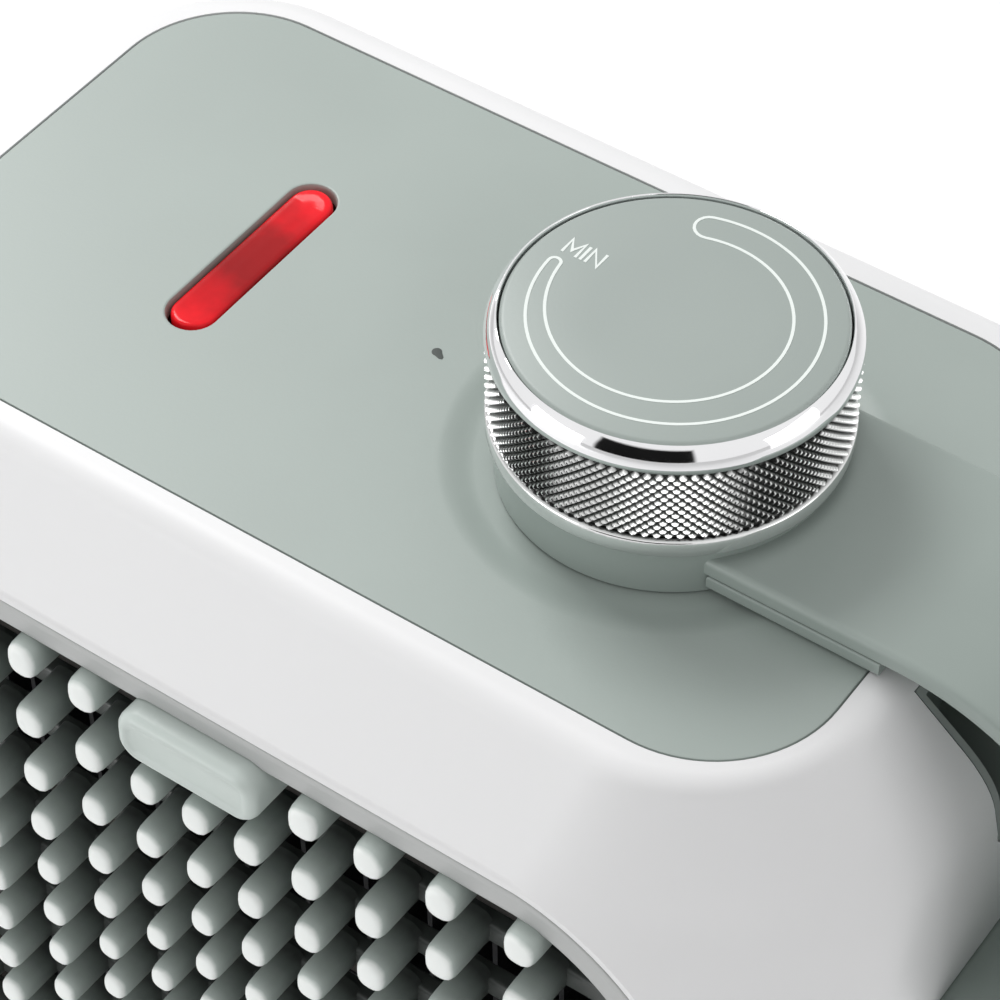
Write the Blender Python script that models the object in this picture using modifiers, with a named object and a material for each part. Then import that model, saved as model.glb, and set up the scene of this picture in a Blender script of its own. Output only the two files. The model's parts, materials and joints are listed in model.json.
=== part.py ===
"""Compact ceramic fan heater: a rounded shell with an inset top panel, a knurled dial and a strap handle.

Units are metres and +Z is up. The front, with its grille of pins, faces -Y.
Every part hangs from one empty on the floor, below the middle of the shell.
"""
import math

import bpy
import bmesh
from mathutils import Matrix

# Driving dimensions. Heights count from the floor, and y counts from the dial's axis.
PANEL_HALF_WIDTH = 0.08275
PANEL_FRONT = -0.0461
PANEL_BACK = 0.0468
PANEL_RADIUS = 0.0202
PANEL_THICK = 0.0025
PANEL_Z = 0.232
BASE_Z = 0.006
WALL = 0.0026
GAP = 0.0003
LEDGE_DROP = 0.0055

# The shoulder: a flat border, a rounded edge, a 30 degree slope and a long curve into the side.
BORDER = 0.0021
EDGE_RADIUS = 0.005
SLOPE = math.radians(30)
SIDE_REACH = 0.0173
SIDE_RADIUS = 0.032
CORNER_GROWTH = 1.45

# The front plane leans back by RAKE. It cuts the shell between OPENING_TOP and OPENING_BOTTOM.
RAKE = math.radians(2)
OPENING_DROP = 0.0205
OPENING_TOP = PANEL_Z - OPENING_DROP
OPENING_BOTTOM = BASE_Z + OPENING_DROP
FRONT_Y = -0.0629
FRONT_BULGE = 0.0165

# Dial
DIAL_X = 0.0388
DIAL_RADIUS = 0.0265
COLLAR_RADIUS = 0.0253
COLLAR_TOP = 0.0079
COLLAR_FOOT = -0.0004
COLLAR_BORE = 0.0195
DISH_OUTER = 0.0330
DISH_INNER = 0.0290
DISH_DEPTH = 0.0008
DIAL_TEETH = 48
DIAL_SEGMENTS = 48

# Strap handle, in the plane of x and z, with z counted from the panel
STRAP_FRONT = -0.0182
STRAP_BACK = 0.0193
STRAP_TOP = 0.0061
STRAP_THICK = 0.0056
STRAP_SEAM = 0.0024
TONGUE_END_X = 0.0846
STRAP_BEND_X = 0.087
STRAP_RADIUS = 0.036
STRAP_SWEEP = math.radians(150)
STRAP_END_X = 0.0935

# Grille: rows and columns stand closer together in the middle
ROW_COUNT = 15
COLUMN_COUNT = 13
ROW_REACH = ROW_COUNT // 2
COLUMN_REACH = COLUMN_COUNT // 2
PIN_WIDTH = 0.0050
PIN_HEIGHT = 0.0062
PIN_PROUD = 0.0026
RIM_INSET = 0.0014
RIM_WIDTH = 0.0055
RIM_OVERLAP = 0.0022
GRILLE_DEPTH = 0.012

# Rocker
ROCKER_X = -0.0365
ROCKER_Y = -0.0009
ROCKER_HALF_LENGTH = 0.0178
ROCKER_HALF_WIDTH = 0.00375
ROCKER_SLOT_LENGTH = 0.0186
ROCKER_SLOT_WIDTH = 0.0041
ROCKER_PIVOT_Z = PANEL_Z - 0.005
ROCKER_BOW = 0.160
ROCKER_DEPTH = 0.0011

# Air path: heater block, fan and motor share one axis, parallel to y
FAN_Z = 0.120
FRAME_HALF_WIDTH = 0.075
SHROUD_TOP = 0.184
HEATER_FRONT = 0.0455
HEATER_BACK = 0.0280
HEATER_HALF_WIDTH = 0.065
HEATER_HALF_HEIGHT = 0.050
FAN_RADIUS = 0.0555

# Rear cover and base
COVER_HALF_WIDTH = 0.075
COVER_LOW = 0.050
COVER_HIGH = 0.200
COVER_Y = PANEL_BACK + SIDE_REACH
COVER_THICK = 0.0029
BASE_FRONT = -0.0500
BASE_BACK = 0.0440
BASE_HALF_WIDTH = 0.080
FOOT_RADIUS = 0.008

# The shell's middle stands here, so that the whole object's box is centred on the origin
BODY_X = -0.01283
BODY_Y = 0.00146

GREEN = (0.40, 0.47, 0.44)
DARK_GREEN = (0.16, 0.20, 0.185)
WHITE = (0.80, 0.80, 0.80)
CHROME = (0.80, 0.80, 0.80)
BLACK = (0.03, 0.03, 0.03)
STEEL = (0.55, 0.55, 0.56)
FRONT_FACING = (math.pi / 2, 0, 0)
ALONG_Y = (-math.pi / 2, 0, 0)
ALONG_X = (0, math.pi / 2, 0)

for old in list(bpy.data.objects):
    bpy.data.objects.remove(old, do_unlink=True)

parts = bpy.data.collections.new("ceramic_fan_heater")
cutters = bpy.data.collections.new("cutters")
bpy.context.scene.collection.children.link(parts)
bpy.context.scene.collection.children.link(cutters)

body_centre = bpy.data.objects.new("body_centre", None)
body_centre.location = (BODY_X, BODY_Y, 0)
parts.objects.link(body_centre)


# ---------------------------------------------------------------- helpers

def paint(piece, colour, roughness, metallic=0.0):
    """Give a part its own Principled material."""
    material = bpy.data.materials.new(piece.name)
    material.use_nodes = True
    shader = material.node_tree.nodes["Principled BSDF"]
    shader.inputs["Base Color"].default_value = (*colour, 1)
    shader.inputs["Roughness"].default_value = roughness
    shader.inputs["Metallic"].default_value = metallic
    piece.data.materials.append(material)


def place(name, mesh, location=(0, 0, 0), rotation=(0, 0, 0), look=None, parent=body_centre):
    """Link a mesh as a part, or as a cutter if it has no look of its own."""
    piece = bpy.data.objects.new(name, mesh)
    piece.location = location
    piece.rotation_euler = rotation
    piece.parent = parent
    if look is None:
        cutters.objects.link(piece)
        piece.hide_render = True
        piece.display_type = "WIRE"
    else:
        parts.objects.link(piece)
        paint(piece, *look)
    return piece


def combine(piece, tool, operation="DIFFERENCE"):
    """Cut a part with a tool, or join the two."""
    modifier = piece.modifiers.new(tool.name, "BOOLEAN")
    modifier.operation = operation
    modifier.object = tool
    modifier.solver = "EXACT"


def mesh_from(bm, name):
    """Turn a bmesh into a mesh whose faces point out."""
    bmesh.ops.recalc_face_normals(bm, faces=bm.faces)
    mesh = bpy.data.meshes.new(name)
    bm.to_mesh(mesh)
    bm.free()
    return mesh


def box(name, low, high, look=None):
    """A box between two corners, given from the body's centre."""
    bm = bmesh.new()
    size = [b - a for a, b in zip(low, high)]
    middle = [(a + b) / 2 for a, b in zip(low, high)]
    bmesh.ops.create_cube(bm, size=1, matrix=Matrix.Diagonal((*size, 1)))
    return place(name, mesh_from(bm, name), middle, (0, 0, 0), look)


def cylinder(name, radius, low, high, location, rotation=(0, 0, 0), look=None, segments=24):
    """A cylinder about its own z axis, from low to high."""
    bm = bmesh.new()
    bmesh.ops.create_cone(bm, cap_ends=True, segments=segments, radius1=radius, radius2=radius,
                          depth=high - low, matrix=Matrix.Translation((0, 0, (low + high) / 2)))
    return place(name, mesh_from(bm, name), location, rotation, look)


def turned(name, profile, location, rotation=(0, 0, 0), look=None, segments=24, closed=False,
           parent=body_centre):
    """A turned part. The profile of (radius, z) runs down its outer side, and back up if closed."""
    mesh = bpy.data.meshes.new(name)
    count = len(profile)
    edges = [(i, i + 1) for i in range(count - 1)]
    if closed:
        edges.append((count - 1, 0))
    mesh.from_pydata([(radius, 0, z) for radius, z in profile], edges, [])
    piece = place(name, mesh, location, rotation, look, parent)
    screw = piece.modifiers.new("turn", "SCREW")
    screw.steps = segments
    screw.render_steps = segments
    screw.use_merge_vertices = True
    screw.merge_threshold = 0.00001
    return piece


def tube(name, inner, outer, low, high, location, rotation=(0, 0, 0), look=None, segments=24):
    """A plain ring or sleeve about its own z axis."""
    profile = [(outer, high), (outer, low), (inner, low), (inner, high)]
    return turned(name, profile, location, rotation, look, segments, closed=True)


def plate(name, outlines, low, high, location=(0, 0, 0), rotation=(0, 0, 0), look=None):
    """A flat outline, with any holes in it, filled and extruded from low to high."""
    curve = bpy.data.curves.new(name, "CURVE")
    curve.dimensions = "2D"
    curve.fill_mode = "BOTH"
    curve.extrude = (high - low) / 2
    for outline in outlines:
        spline = curve.splines.new("POLY")
        spline.points.add(len(outline) - 1)
        for point, (x, y) in zip(spline.points, outline):
            point.co = (x, y, 0, 1)
        spline.use_cyclic_u = True
    guide = bpy.data.objects.new(name + "_outline", curve)
    cutters.objects.link(guide)
    bpy.context.view_layer.update()
    evaluated = guide.evaluated_get(bpy.context.evaluated_depsgraph_get())
    flat = bpy.data.meshes.new_from_object(evaluated)
    bm = bmesh.new()
    bm.from_mesh(flat)
    bmesh.ops.remove_doubles(bm, verts=bm.verts, dist=0.00001)
    bmesh.ops.translate(bm, verts=bm.verts, vec=(0, 0, (low + high) / 2))
    bpy.data.objects.remove(guide, do_unlink=True)
    bpy.data.meshes.remove(flat)
    return place(name, mesh_from(bm, name), location, rotation, look)


def loft(name, rings, look=None):
    """A solid through rings of points, which all have the same count, with flat ends."""
    bm = bmesh.new()
    levels = [[bm.verts.new(point) for point in ring] for ring in rings]
    count = len(rings[0])
    for lower, upper in zip(levels, levels[1:]):
        for i in range(count):
            j = (i + 1) % count
            bm.faces.new((lower[i], lower[j], upper[j], upper[i]))
    bm.faces.new(levels[0])
    bm.faces.new(levels[-1])
    return place(name, mesh_from(bm, name), (0, 0, 0), (0, 0, 0), look)


def arc(x, y, radius, start, stop, steps):
    """Points on an arc, angles in degrees, both ends included."""
    angles = [math.radians(start + (stop - start) * i / steps) for i in range(steps + 1)]
    return [(x + radius * math.cos(a), y + radius * math.sin(a)) for a in angles]


def rounded(half_width, low, high, low_radius, high_radius, steps=6):
    """A rounded rectangle, anticlockwise, with one radius on its low side and one on its high side."""
    points = arc(half_width - low_radius, low + low_radius, low_radius, -90, 0, steps)
    points += arc(half_width - high_radius, high - high_radius, high_radius, 0, 90, steps)
    points += arc(high_radius - half_width, high - high_radius, high_radius, 90, 180, steps)
    points += arc(low_radius - half_width, low + low_radius, low_radius, 180, 270, steps)
    return points


def shifted(points, x, y):
    """The same outline, moved."""
    return [(px + x, py + y) for px, py in points]


def inset(points, distance):
    """A convex outline moved inwards along its corners' bisectors."""
    result = []
    centre_x = sum(x for x, _ in points) / len(points)
    centre_y = sum(y for _, y in points) / len(points)
    for i, (x, y) in enumerate(points):
        before = points[i - 1]
        after = points[(i + 1) % len(points)]
        along_x, along_y = after[0] - before[0], after[1] - before[1]
        length = math.hypot(along_x, along_y)
        normal_x, normal_y = along_y / length, -along_x / length
        if normal_x * (x - centre_x) + normal_y * (y - centre_y) < 0:
            normal_x, normal_y = -normal_x, -normal_y
        result.append((x - normal_x * distance, y - normal_y * distance))
    return result


# ---------------------------------------------------------------- shell

def straight_reach(depth):
    """How far the sloping band stands out from the panel's edge, at a depth below the shell's top."""
    edge_end = EDGE_RADIUS * (1 - math.sin(SLOPE))
    if depth < edge_end:
        return BORDER + math.sqrt(EDGE_RADIUS ** 2 - (EDGE_RADIUS - depth) ** 2)
    return BORDER + EDGE_RADIUS * math.cos(SLOPE) + (depth - edge_end) * math.tan(SLOPE)


def side_reach(depth):
    """The same on the sides and the back, where a long curve turns the slope upright."""
    curve_low = SIDE_REACH - SIDE_RADIUS * (1 - math.cos(SLOPE))
    if straight_reach(depth) < curve_low:
        return straight_reach(depth)
    edge_end = EDGE_RADIUS * (1 - math.sin(SLOPE))
    start = edge_end + (curve_low - straight_reach(edge_end)) / math.tan(SLOPE)
    rise = start + SIDE_RADIUS * math.sin(SLOPE) - depth
    if rise <= 0:
        return SIDE_REACH
    return SIDE_REACH - SIDE_RADIUS + math.sqrt(SIDE_RADIUS ** 2 - rise ** 2)


def front_plane(z):
    """The raked front plane's y at a height."""
    return FRONT_Y - (OPENING_TOP - z) * math.tan(RAKE)


def shell_section(z):
    """Half width, front, back and the two corner radii of the shell's outline at a height."""
    top_depth, bottom_depth = PANEL_Z - z, z - BASE_Z
    depth = max(min(top_depth, bottom_depth), 0)
    reach = side_reach(depth)
    lower_start = -front_plane(OPENING_BOTTOM) - straight_reach(OPENING_DROP)
    front = -min(-PANEL_FRONT + straight_reach(top_depth),
                 lower_start + straight_reach(bottom_depth),
                 -front_plane(z) + FRONT_BULGE)
    corner = PANEL_RADIUS + CORNER_GROWTH * min(straight_reach(depth), straight_reach(OPENING_DROP))
    return PANEL_HALF_WIDTH + reach, front, PANEL_BACK + reach, corner, PANEL_RADIUS + reach


def shell_rings(heights, thickness):
    """Outlines of the shell at each height, moved inwards by a thickness."""
    rings = []
    for z in heights:
        half_width, front, back, front_corner, back_corner = shell_section(z)
        outline = rounded(half_width - thickness, front + thickness, back - thickness,
                          front_corner - thickness, back_corner - thickness)
        rings.append([(x, y, z) for x, y in outline])
    return rings


def opening_half_width(z):
    """Half the width of the cut that the front plane makes, at a height."""
    half_width, front, _, corner, _ = shell_section(z)
    ahead = max(front_plane(z) - front, 0)
    return half_width - corner + math.sqrt(corner ** 2 - (corner - ahead) ** 2)


def opening_outline(steps=9):
    """The cut's outline in the front plane: x, and the height along the plane below its top."""
    bend = 0.036
    drops = [bend * (i / steps) ** 2 for i in range(steps + 1)]
    heights = [OPENING_TOP - drop for drop in drops]
    heights += [OPENING_BOTTOM + drop * 0.72 for drop in reversed(drops)]
    right = [(opening_half_width(z), (z - OPENING_TOP) / math.cos(RAKE)) for z in heights]
    left = [(-x, height) for x, height in reversed(right)]
    return right + left


def front_plate(name, outlines, back, front, look=None):
    """A plate parallel to the raked front, between two distances ahead of the front plane."""
    return plate(name, outlines, back, front, (0, FRONT_Y, OPENING_TOP), (math.pi / 2 - RAKE, 0, 0), look)


def panel_outline(reach=0.0):
    """The top panel's outline, grown by a reach."""
    return rounded(PANEL_HALF_WIDTH + reach, PANEL_FRONT - reach, PANEL_BACK + reach,
                   PANEL_RADIUS + reach, PANEL_RADIUS + reach)


def base_outline(reach=0.0):
    """The base plate's outline, grown by a reach."""
    corner = 0.018 + reach
    return rounded(BASE_HALF_WIDTH + reach, BASE_FRONT - reach, BASE_BACK + reach, corner, corner)


def scoop_outline(reach=0.0):
    """The tongue-shaped scoop under the handle, as y and z, narrow end down."""
    middle = (STRAP_FRONT + STRAP_BACK) / 2
    top, low = PANEL_Z - 0.0022, PANEL_Z - 0.038
    top_half, low_half = 0.0161 + reach, 0.0052 + reach
    points = [(middle + top_half, top + reach), (middle - top_half, top + reach)]
    return points + arc(middle, low, low_half, 180, 360, 8)


COVER_SCREWS = [(side * 0.069, z) for side in (-1, 1) for z in (COVER_LOW + 0.006, COVER_HIGH - 0.006)]
BASE_SCREWS = [(side * 0.0755, y) for side in (-1, 1) for y in (-0.027, 0.022)]
FEET = [(side * 0.064, y) for side in (-1, 1) for y in (-0.037, 0.030)]
GLAND_X, GLAND_Z = 0.060, 0.036


def make_shell():
    depths = [EDGE_RADIUS * (1 - math.cos(math.radians(a))) for a in (0, 20, 40, 60)]
    depths += [0.0139, 0.0190, 0.0243, 0.0299, 0.038, 0.0465, 0.0560]
    outer_heights = [BASE_Z + d for d in depths] + [PANEL_Z - d for d in reversed(depths)]
    shell = loft("shell", shell_rings(outer_heights, 0), (WHITE, 0.35))

    inner_low, inner_high = BASE_Z + LEDGE_DROP, PANEL_Z - LEDGE_DROP
    inner_depths = [d for d in depths if d > LEDGE_DROP]
    inner_heights = [inner_low] + [BASE_Z + d for d in inner_depths]
    inner_heights += [PANEL_Z - d for d in reversed(inner_depths)] + [inner_high]
    combine(shell, loft("shell_hollow", shell_rings(inner_heights, WALL)))

    opening = opening_outline()
    wide = rounded(0.15, -0.30, 0.10, 0.01, 0.01)
    combine(shell, front_plate("front_cut", [wide], 0, 0.06))
    combine(shell, front_plate("rim_seat", [inset(opening, RIM_INSET - GAP)], -0.0205, 0.01))

    panel_top = PANEL_Z + 0.01
    combine(shell, plate("panel_seat", [panel_outline(GAP)], PANEL_Z - PANEL_THICK - GAP, panel_top))
    combine(shell, plate("panel_opening", [panel_outline(-0.004)], PANEL_Z - 0.02, panel_top))
    base_low = BASE_Z - 0.01
    combine(shell, plate("base_seat", [base_outline(GAP)], base_low, BASE_Z + 0.0025))
    combine(shell, plate("base_opening", [base_outline(-0.008)], base_low, BASE_Z + 0.012))

    rear = rounded(COVER_HALF_WIDTH - 0.010, COVER_LOW + 0.012, COVER_HIGH - 0.012, 0.012, 0.012)
    combine(shell, plate("rear_opening", [rear], -0.09, -0.045, (0, 0, 0), FRONT_FACING))
    combine(shell, side_plate("scoop_seat", [scoop_outline()], 0.080, 0.110))
    combine(shell, strap_slot(strap_end_height()))
    for number, (x, z) in enumerate(COVER_SCREWS):
        combine(shell, cylinder(f"rear_hole_{number}", 0.0017, 0.05, 0.08, (x, 0, z), ALONG_Y, segments=16))
    for number, (x, y) in enumerate(BASE_SCREWS):
        combine(shell, cylinder(f"base_hole_{number}", 0.0017, 0, 0.02, (x, y, 0), segments=16))
    combine(shell, cylinder("gland_hole", 0.0057, 0.05, 0.08, (GLAND_X, 0, GLAND_Z), ALONG_Y))
    return shell


def side_plate(name, outlines, low, high, look=None):
    """A plate drawn in y and z, extruded along x from low to high."""
    piece = plate(name, outlines, low, high, (0, 0, 0), (0, 0, 0), look)
    turn = Matrix(((0, 0, 1, 0), (1, 0, 0, 0), (0, 1, 0, 0), (0, 0, 0, 1)))
    piece.data.transform(turn)
    return piece


# ---------------------------------------------------------------- handle

def strap_line(offset, steps=16):
    """Points along the strap at a distance outside its middle line, as x and z from the panel."""
    middle_z = STRAP_TOP - STRAP_THICK / 2
    points = [(DIAL_X, middle_z + offset)]
    centre_z = middle_z - STRAP_RADIUS
    for i in range(steps + 1):
        a = STRAP_SWEEP * i / steps
        radius = STRAP_RADIUS + offset
        points.append((STRAP_BEND_X + radius * math.sin(a), centre_z + radius * math.cos(a)))
    last_x, last_z = points[-1]
    points.append((STRAP_END_X, last_z + (last_x - STRAP_END_X) * math.tan(STRAP_SWEEP)))
    return points


def strap_end_height():
    """The height at which the strap's middle line meets the shell's side."""
    (x0, z0), (x1, z1) = strap_line(0)[-2:]
    share = (PANEL_HALF_WIDTH + SIDE_REACH - x0) / (x1 - x0)
    return PANEL_Z + z0 + share * (z1 - z0)


def ribbon(name, inner, outer, margin=0.0, look=None):
    """A layer of the strap between two distances from its middle line."""
    outline = strap_line(outer) + strap_line(inner)[::-1]
    return plate(name, [outline], -STRAP_BACK - margin, -STRAP_FRONT + margin, (0, 0, PANEL_Z),
                 FRONT_FACING, look)


def strap_slot(height):
    """The slot in the shell's side that the strap's free end goes through."""
    half = STRAP_THICK / 2
    slot = ribbon("strap_slot", -half + STRAP_SEAM, half + GAP, GAP)
    keep = box("strap_slot_reach", (0.088, -0.05, height - 0.03), (0.104, 0.05, height + 0.03))
    combine(slot, keep, "INTERSECT")
    return slot


def make_handle():
    half = STRAP_THICK / 2
    seam = -half + STRAP_SEAM
    look = (GREEN, 0.42)
    dial = (DIAL_X, 0, PANEL_Z)
    bore = cylinder("collar_bore", COLLAR_BORE, -0.01, 0.02, dial, segments=DIAL_SEGMENTS)
    cover = ribbon("handle_cover", seam + GAP, half, 0, look)
    combine(cover, cylinder("collar", COLLAR_RADIUS, COLLAR_FOOT, COLLAR_TOP, dial, segments=DIAL_SEGMENTS),
            "UNION")
    combine(cover, bore)

    core = ribbon("handle_core", -half, seam, 0, look)
    combine(core, cylinder("collar_space", COLLAR_RADIUS + GAP, -0.01, 0.02, dial, segments=DIAL_SEGMENTS))
    combine(core, box("core_reach", (TONGUE_END_X, -0.05, 0.10), (0.15, 0.05, PANEL_Z + 0.02)))

    bracket_z = strap_end_height()
    bracket = box("handle_bracket", (0.0860, STRAP_FRONT - 0.004, bracket_z - 0.014),
                  (0.0968, STRAP_BACK + 0.004, bracket_z + 0.008), (DARK_GREEN, 0.5))
    combine(bracket, ribbon("bracket_slot", seam, half + GAP, GAP))

    liner = side_plate("handle_liner", [scoop_outline(-GAP)], 0.0812, 0.110, (DARK_GREEN, 0.45))
    heights = [PANEL_Z - d for d in (0.060, 0.045, 0.0299, 0.0243, 0.0190, 0.0139, 0.0025, 0.0012, 0.0003, 0)]
    combine(liner, loft("liner_skin", shell_rings(heights, 0.0001)), "INTERSECT")
    combine(liner, side_plate("liner_hollow", [scoop_outline(-0.0018)], 0.0835, 0.120))


# ---------------------------------------------------------------- front grille

def row_height(row):
    """A row's height along the front plane, counted from the middle of the grille."""
    return 0.01049 * row + 0.0000267 * row ** 3


def column_x(column):
    """A column's distance from the middle."""
    return 0.0093 * column + 0.00046 * column * abs(column)


def pin_scale(row, column):
    """Pins are smaller in the middle of the grille than at its edges."""
    return 0.76 + 0.32 * min(1.0, math.hypot(row / ROW_REACH, column / COLUMN_REACH))


def outline_half_width(outline, height):
    """Half the width of a symmetric outline at a height, or zero beyond its ends."""
    widest = 0.0
    for (x0, y0), (x1, y1) in zip(outline, outline[1:] + outline[:1]):
        if min(y0, y1) <= height <= max(y0, y1) and y0 != y1:
            widest = max(widest, abs(x0 + (x1 - x0) * (height - y0) / (y1 - y0)))
    return widest


def row_half_width(height, half_height, inner, outer):
    """Half a row's width: it ends inside the rim, and its corners stay within the rim's outer edge."""
    edges = [outline_half_width(outer, level) - GAP for level in (height - half_height, height + half_height)]
    return min(edges + [outline_half_width(inner, height) + RIM_OVERLAP])


def comb(row, half_width, web_back, web_front):
    """One row from above: a flat web with a pin standing forward at each column."""
    points = [(half_width, web_back), (-half_width, web_back), (-half_width, web_front)]
    for column in range(-COLUMN_REACH, COLUMN_REACH + 1):
        x = column_x(column)
        half = PIN_WIDTH * pin_scale(row, column) / 2
        behind_badge = row == ROW_REACH and abs(column) <= 1
        if abs(x) + half / 2 > half_width - RIM_OVERLAP or behind_badge:
            continue
        points += [(x - half, web_front), (x - half * 0.8, PIN_PROUD), (x + half * 0.8, PIN_PROUD),
                   (x + half, web_front)]
    points.append((half_width, web_front))
    return points


def make_grille():
    opening = opening_outline()
    outer = inset(opening, RIM_INSET)
    inner = inset(opening, RIM_INSET + RIM_WIDTH)
    grille = front_plate("front_grille", [outer, inner], -GRILLE_DEPTH, 0, (GREEN, 0.45))
    middle = (OPENING_BOTTOM - OPENING_TOP) / math.cos(RAKE) / 2
    for row in range(-ROW_REACH, ROW_REACH + 1):
        height = middle + row_height(row)
        half_height = PIN_HEIGHT * pin_scale(row, 3) / 2
        half_width = row_half_width(height, half_height, inner, outer)
        outline = comb(row, half_width, -0.0095, -0.0065)
        rows = plate(f"grille_row_{row + ROW_REACH}", [outline], height - half_height, height + half_height)
        turn = Matrix(((1, 0, 0, 0), (0, 0, 1, 0), (0, 1, 0, 0), (0, 0, 0, 1)))
        rows.data.transform(turn)
        rows.data.flip_normals()
        rows.location = (0, FRONT_Y, OPENING_TOP)
        rows.rotation_euler = (math.pi / 2 - RAKE, 0, 0)
        combine(grille, rows, "UNION")
    top_row = middle + row_height(ROW_REACH)
    badge = shifted(rounded(0.0129, -0.0059, 0.0041, 0.0040, 0.0040, 5), 0, top_row)
    badge_back = -0.0062
    combine(grille, front_plate("badge_seat", [inset(badge, -GAP)], badge_back - GAP, 0.01))
    front_plate("grille_badge", [badge], badge_back, PIN_PROUD + 0.0010, (GREEN, 0.4))


# ---------------------------------------------------------------- top panel, dial and rocker

def make_panel():
    slot = rounded(ROCKER_SLOT_WIDTH, -ROCKER_SLOT_LENGTH, ROCKER_SLOT_LENGTH,
                   ROCKER_SLOT_WIDTH * 0.999, ROCKER_SLOT_WIDTH * 0.999, 5)
    low = PANEL_Z - PANEL_THICK
    panel = plate("top_panel", [panel_outline(), shifted(slot, ROCKER_X, ROCKER_Y)], low, PANEL_Z,
                  look=(GREEN, 0.38))
    dial = (DIAL_X, 0, PANEL_Z)
    combine(panel, cylinder("bush_hole", 0.0052, -0.01, 0.01, dial))
    dish = [(DISH_OUTER, 0.001), (DISH_OUTER, 0), (DISH_INNER, -DISH_DEPTH), (0.0150, -DISH_DEPTH),
            (0.0150, 0.001)]
    combine(panel, turned("dial_dish", dish, dial, segments=DIAL_SEGMENTS, closed=True))
    mark = (DIAL_X - 0.0400, -0.0017, PANEL_Z)
    combine(panel, cylinder("index_mark", 0.0016, -0.0008, 0.01, mark, segments=16))


def knurl_ring(radius, depth, z):
    """A ring of DIAL_TEETH ribs about the dial's axis, or a plain circle where the depth is zero."""
    points = []
    for i in range(DIAL_TEETH * 2):
        a = math.pi * i / DIAL_TEETH
        r = radius - depth * (i % 2)
        points.append((DIAL_X + r * math.cos(a), r * math.sin(a), PANEL_Z + z))
    return points


def make_dial():
    dial = (DIAL_X, 0, PANEL_Z)
    chrome = (CHROME, 0.12, 1.0)
    rings = [knurl_ring(DIAL_RADIUS, 0, COLLAR_TOP + GAP), knurl_ring(DIAL_RADIUS, 0, 0.0111),
             knurl_ring(DIAL_RADIUS, 0.0007, 0.0114), knurl_ring(DIAL_RADIUS, 0.0007, 0.0244)]
    sleeve = loft("dial_sleeve", rings, chrome)
    combine(sleeve, cylinder("sleeve_bore", 0.0232, 0.0, 0.03, dial, segments=DIAL_SEGMENTS))

    bezel = [(0.0250, 0.0287), (0.0256, 0.0281), (0.0261, 0.0271), (0.0265, 0.0257), (0.0265, 0.0247),
             (0.0232, 0.0247), (0.0232, 0.0255), (0.0246, 0.0262), (0.0246, 0.0287)]
    turned("dial_bezel", bezel, dial, look=chrome, segments=DIAL_SEGMENTS, closed=True)
    disc = [(0, 0.0286), (0.0243, 0.0286), (0.0243, 0.0266), (0.0229, 0.0258), (0, 0.0258)]
    turned("dial_disc", disc, dial, look=(GREEN, 0.38), segments=DIAL_SEGMENTS)
    hub = [(0.0229, 0.0255), (0.0229, 0.0195), (0.0070, 0.0195), (0.0070, 0.0100), (0.0033, 0.0100),
           (0.0033, 0.0255)]
    turned("dial_hub", hub, dial, look=(DARK_GREEN, 0.5), closed=True)
    cylinder("thermostat_shaft", 0.0030, -0.0200, 0.0250, dial, look=(STEEL, 0.3, 1.0))
    body = [(0.0046, 0.0085), (0.0046, -0.0031), (0.0200, -0.0031), (0.0200, -0.0220), (0.0033, -0.0220),
            (0.0033, 0.0085)]
    turned("thermostat_body", body, dial, look=(BLACK, 0.5), closed=True)
    turned("thermostat_nut", [(0.0085, 0.0031), (0.0085, 0.0001), (0.0057, 0.0001), (0.0057, 0.0031)],
           dial, look=(STEEL, 0.35, 1.0), segments=6, closed=True)


def make_rocker():
    pivot = (ROCKER_X, ROCKER_Y, ROCKER_PIVOT_Z)
    pill = rounded(ROCKER_HALF_WIDTH, -ROCKER_HALF_LENGTH, ROCKER_HALF_LENGTH,
                   ROCKER_HALF_WIDTH * 0.999, ROCKER_HALF_WIDTH * 0.999, 6)
    rocker = plate("rocker", [pill], -0.0040, 0.0049, pivot, look=((0.75, 0.0, 0.01), 0.2))
    bow_centre = (ROCKER_X, ROCKER_Y, PANEL_Z - ROCKER_DEPTH + ROCKER_BOW)
    combine(rocker, cylinder("rocker_hollow", ROCKER_BOW, -0.02, 0.02, bow_centre, ALONG_X, segments=160))
    combine(rocker, cylinder("rocker_bore", 0.0013, -0.01, 0.01, pivot, ALONG_X, segments=16))
    low, high = PANEL_Z - 0.0165, PANEL_Z - PANEL_THICK - GAP
    housing = box("rocker_housing", (ROCKER_X - 0.008, ROCKER_Y - 0.022, low),
                  (ROCKER_X + 0.008, ROCKER_Y + 0.022, high), (DARK_GREEN, 0.5))
    combine(housing, box("housing_hollow", (ROCKER_X - 0.0053, ROCKER_Y - 0.0195, low + 0.002),
                         (ROCKER_X + 0.0053, ROCKER_Y + 0.0195, PANEL_Z)))
    combine(housing, cylinder("housing_bore", 0.0013, -0.02, 0.02, pivot, ALONG_X, segments=16))
    cylinder("rocker_pin", 0.0010, -0.0078, 0.0078, pivot, ALONG_X, (STEEL, 0.3, 1.0), segments=16)
    cylinder("neon_lamp", 0.0019, -0.004, 0.004, (ROCKER_X, ROCKER_Y, low + 0.0042), ALONG_Y,
             ((0.9, 0.25, 0.1), 0.15), segments=16)


# ---------------------------------------------------------------- heater, fan and motor

def slots(half_width, low, high, count, wall):
    """Upright slots side by side, between two heights."""
    pitch = (2 * half_width - wall) / count
    holes = []
    for i in range(count):
        left = -half_width + wall + i * pitch
        right = left + pitch - wall
        holes.append([(left, low), (right, low), (right, high), (left, high)])
    return holes


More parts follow.
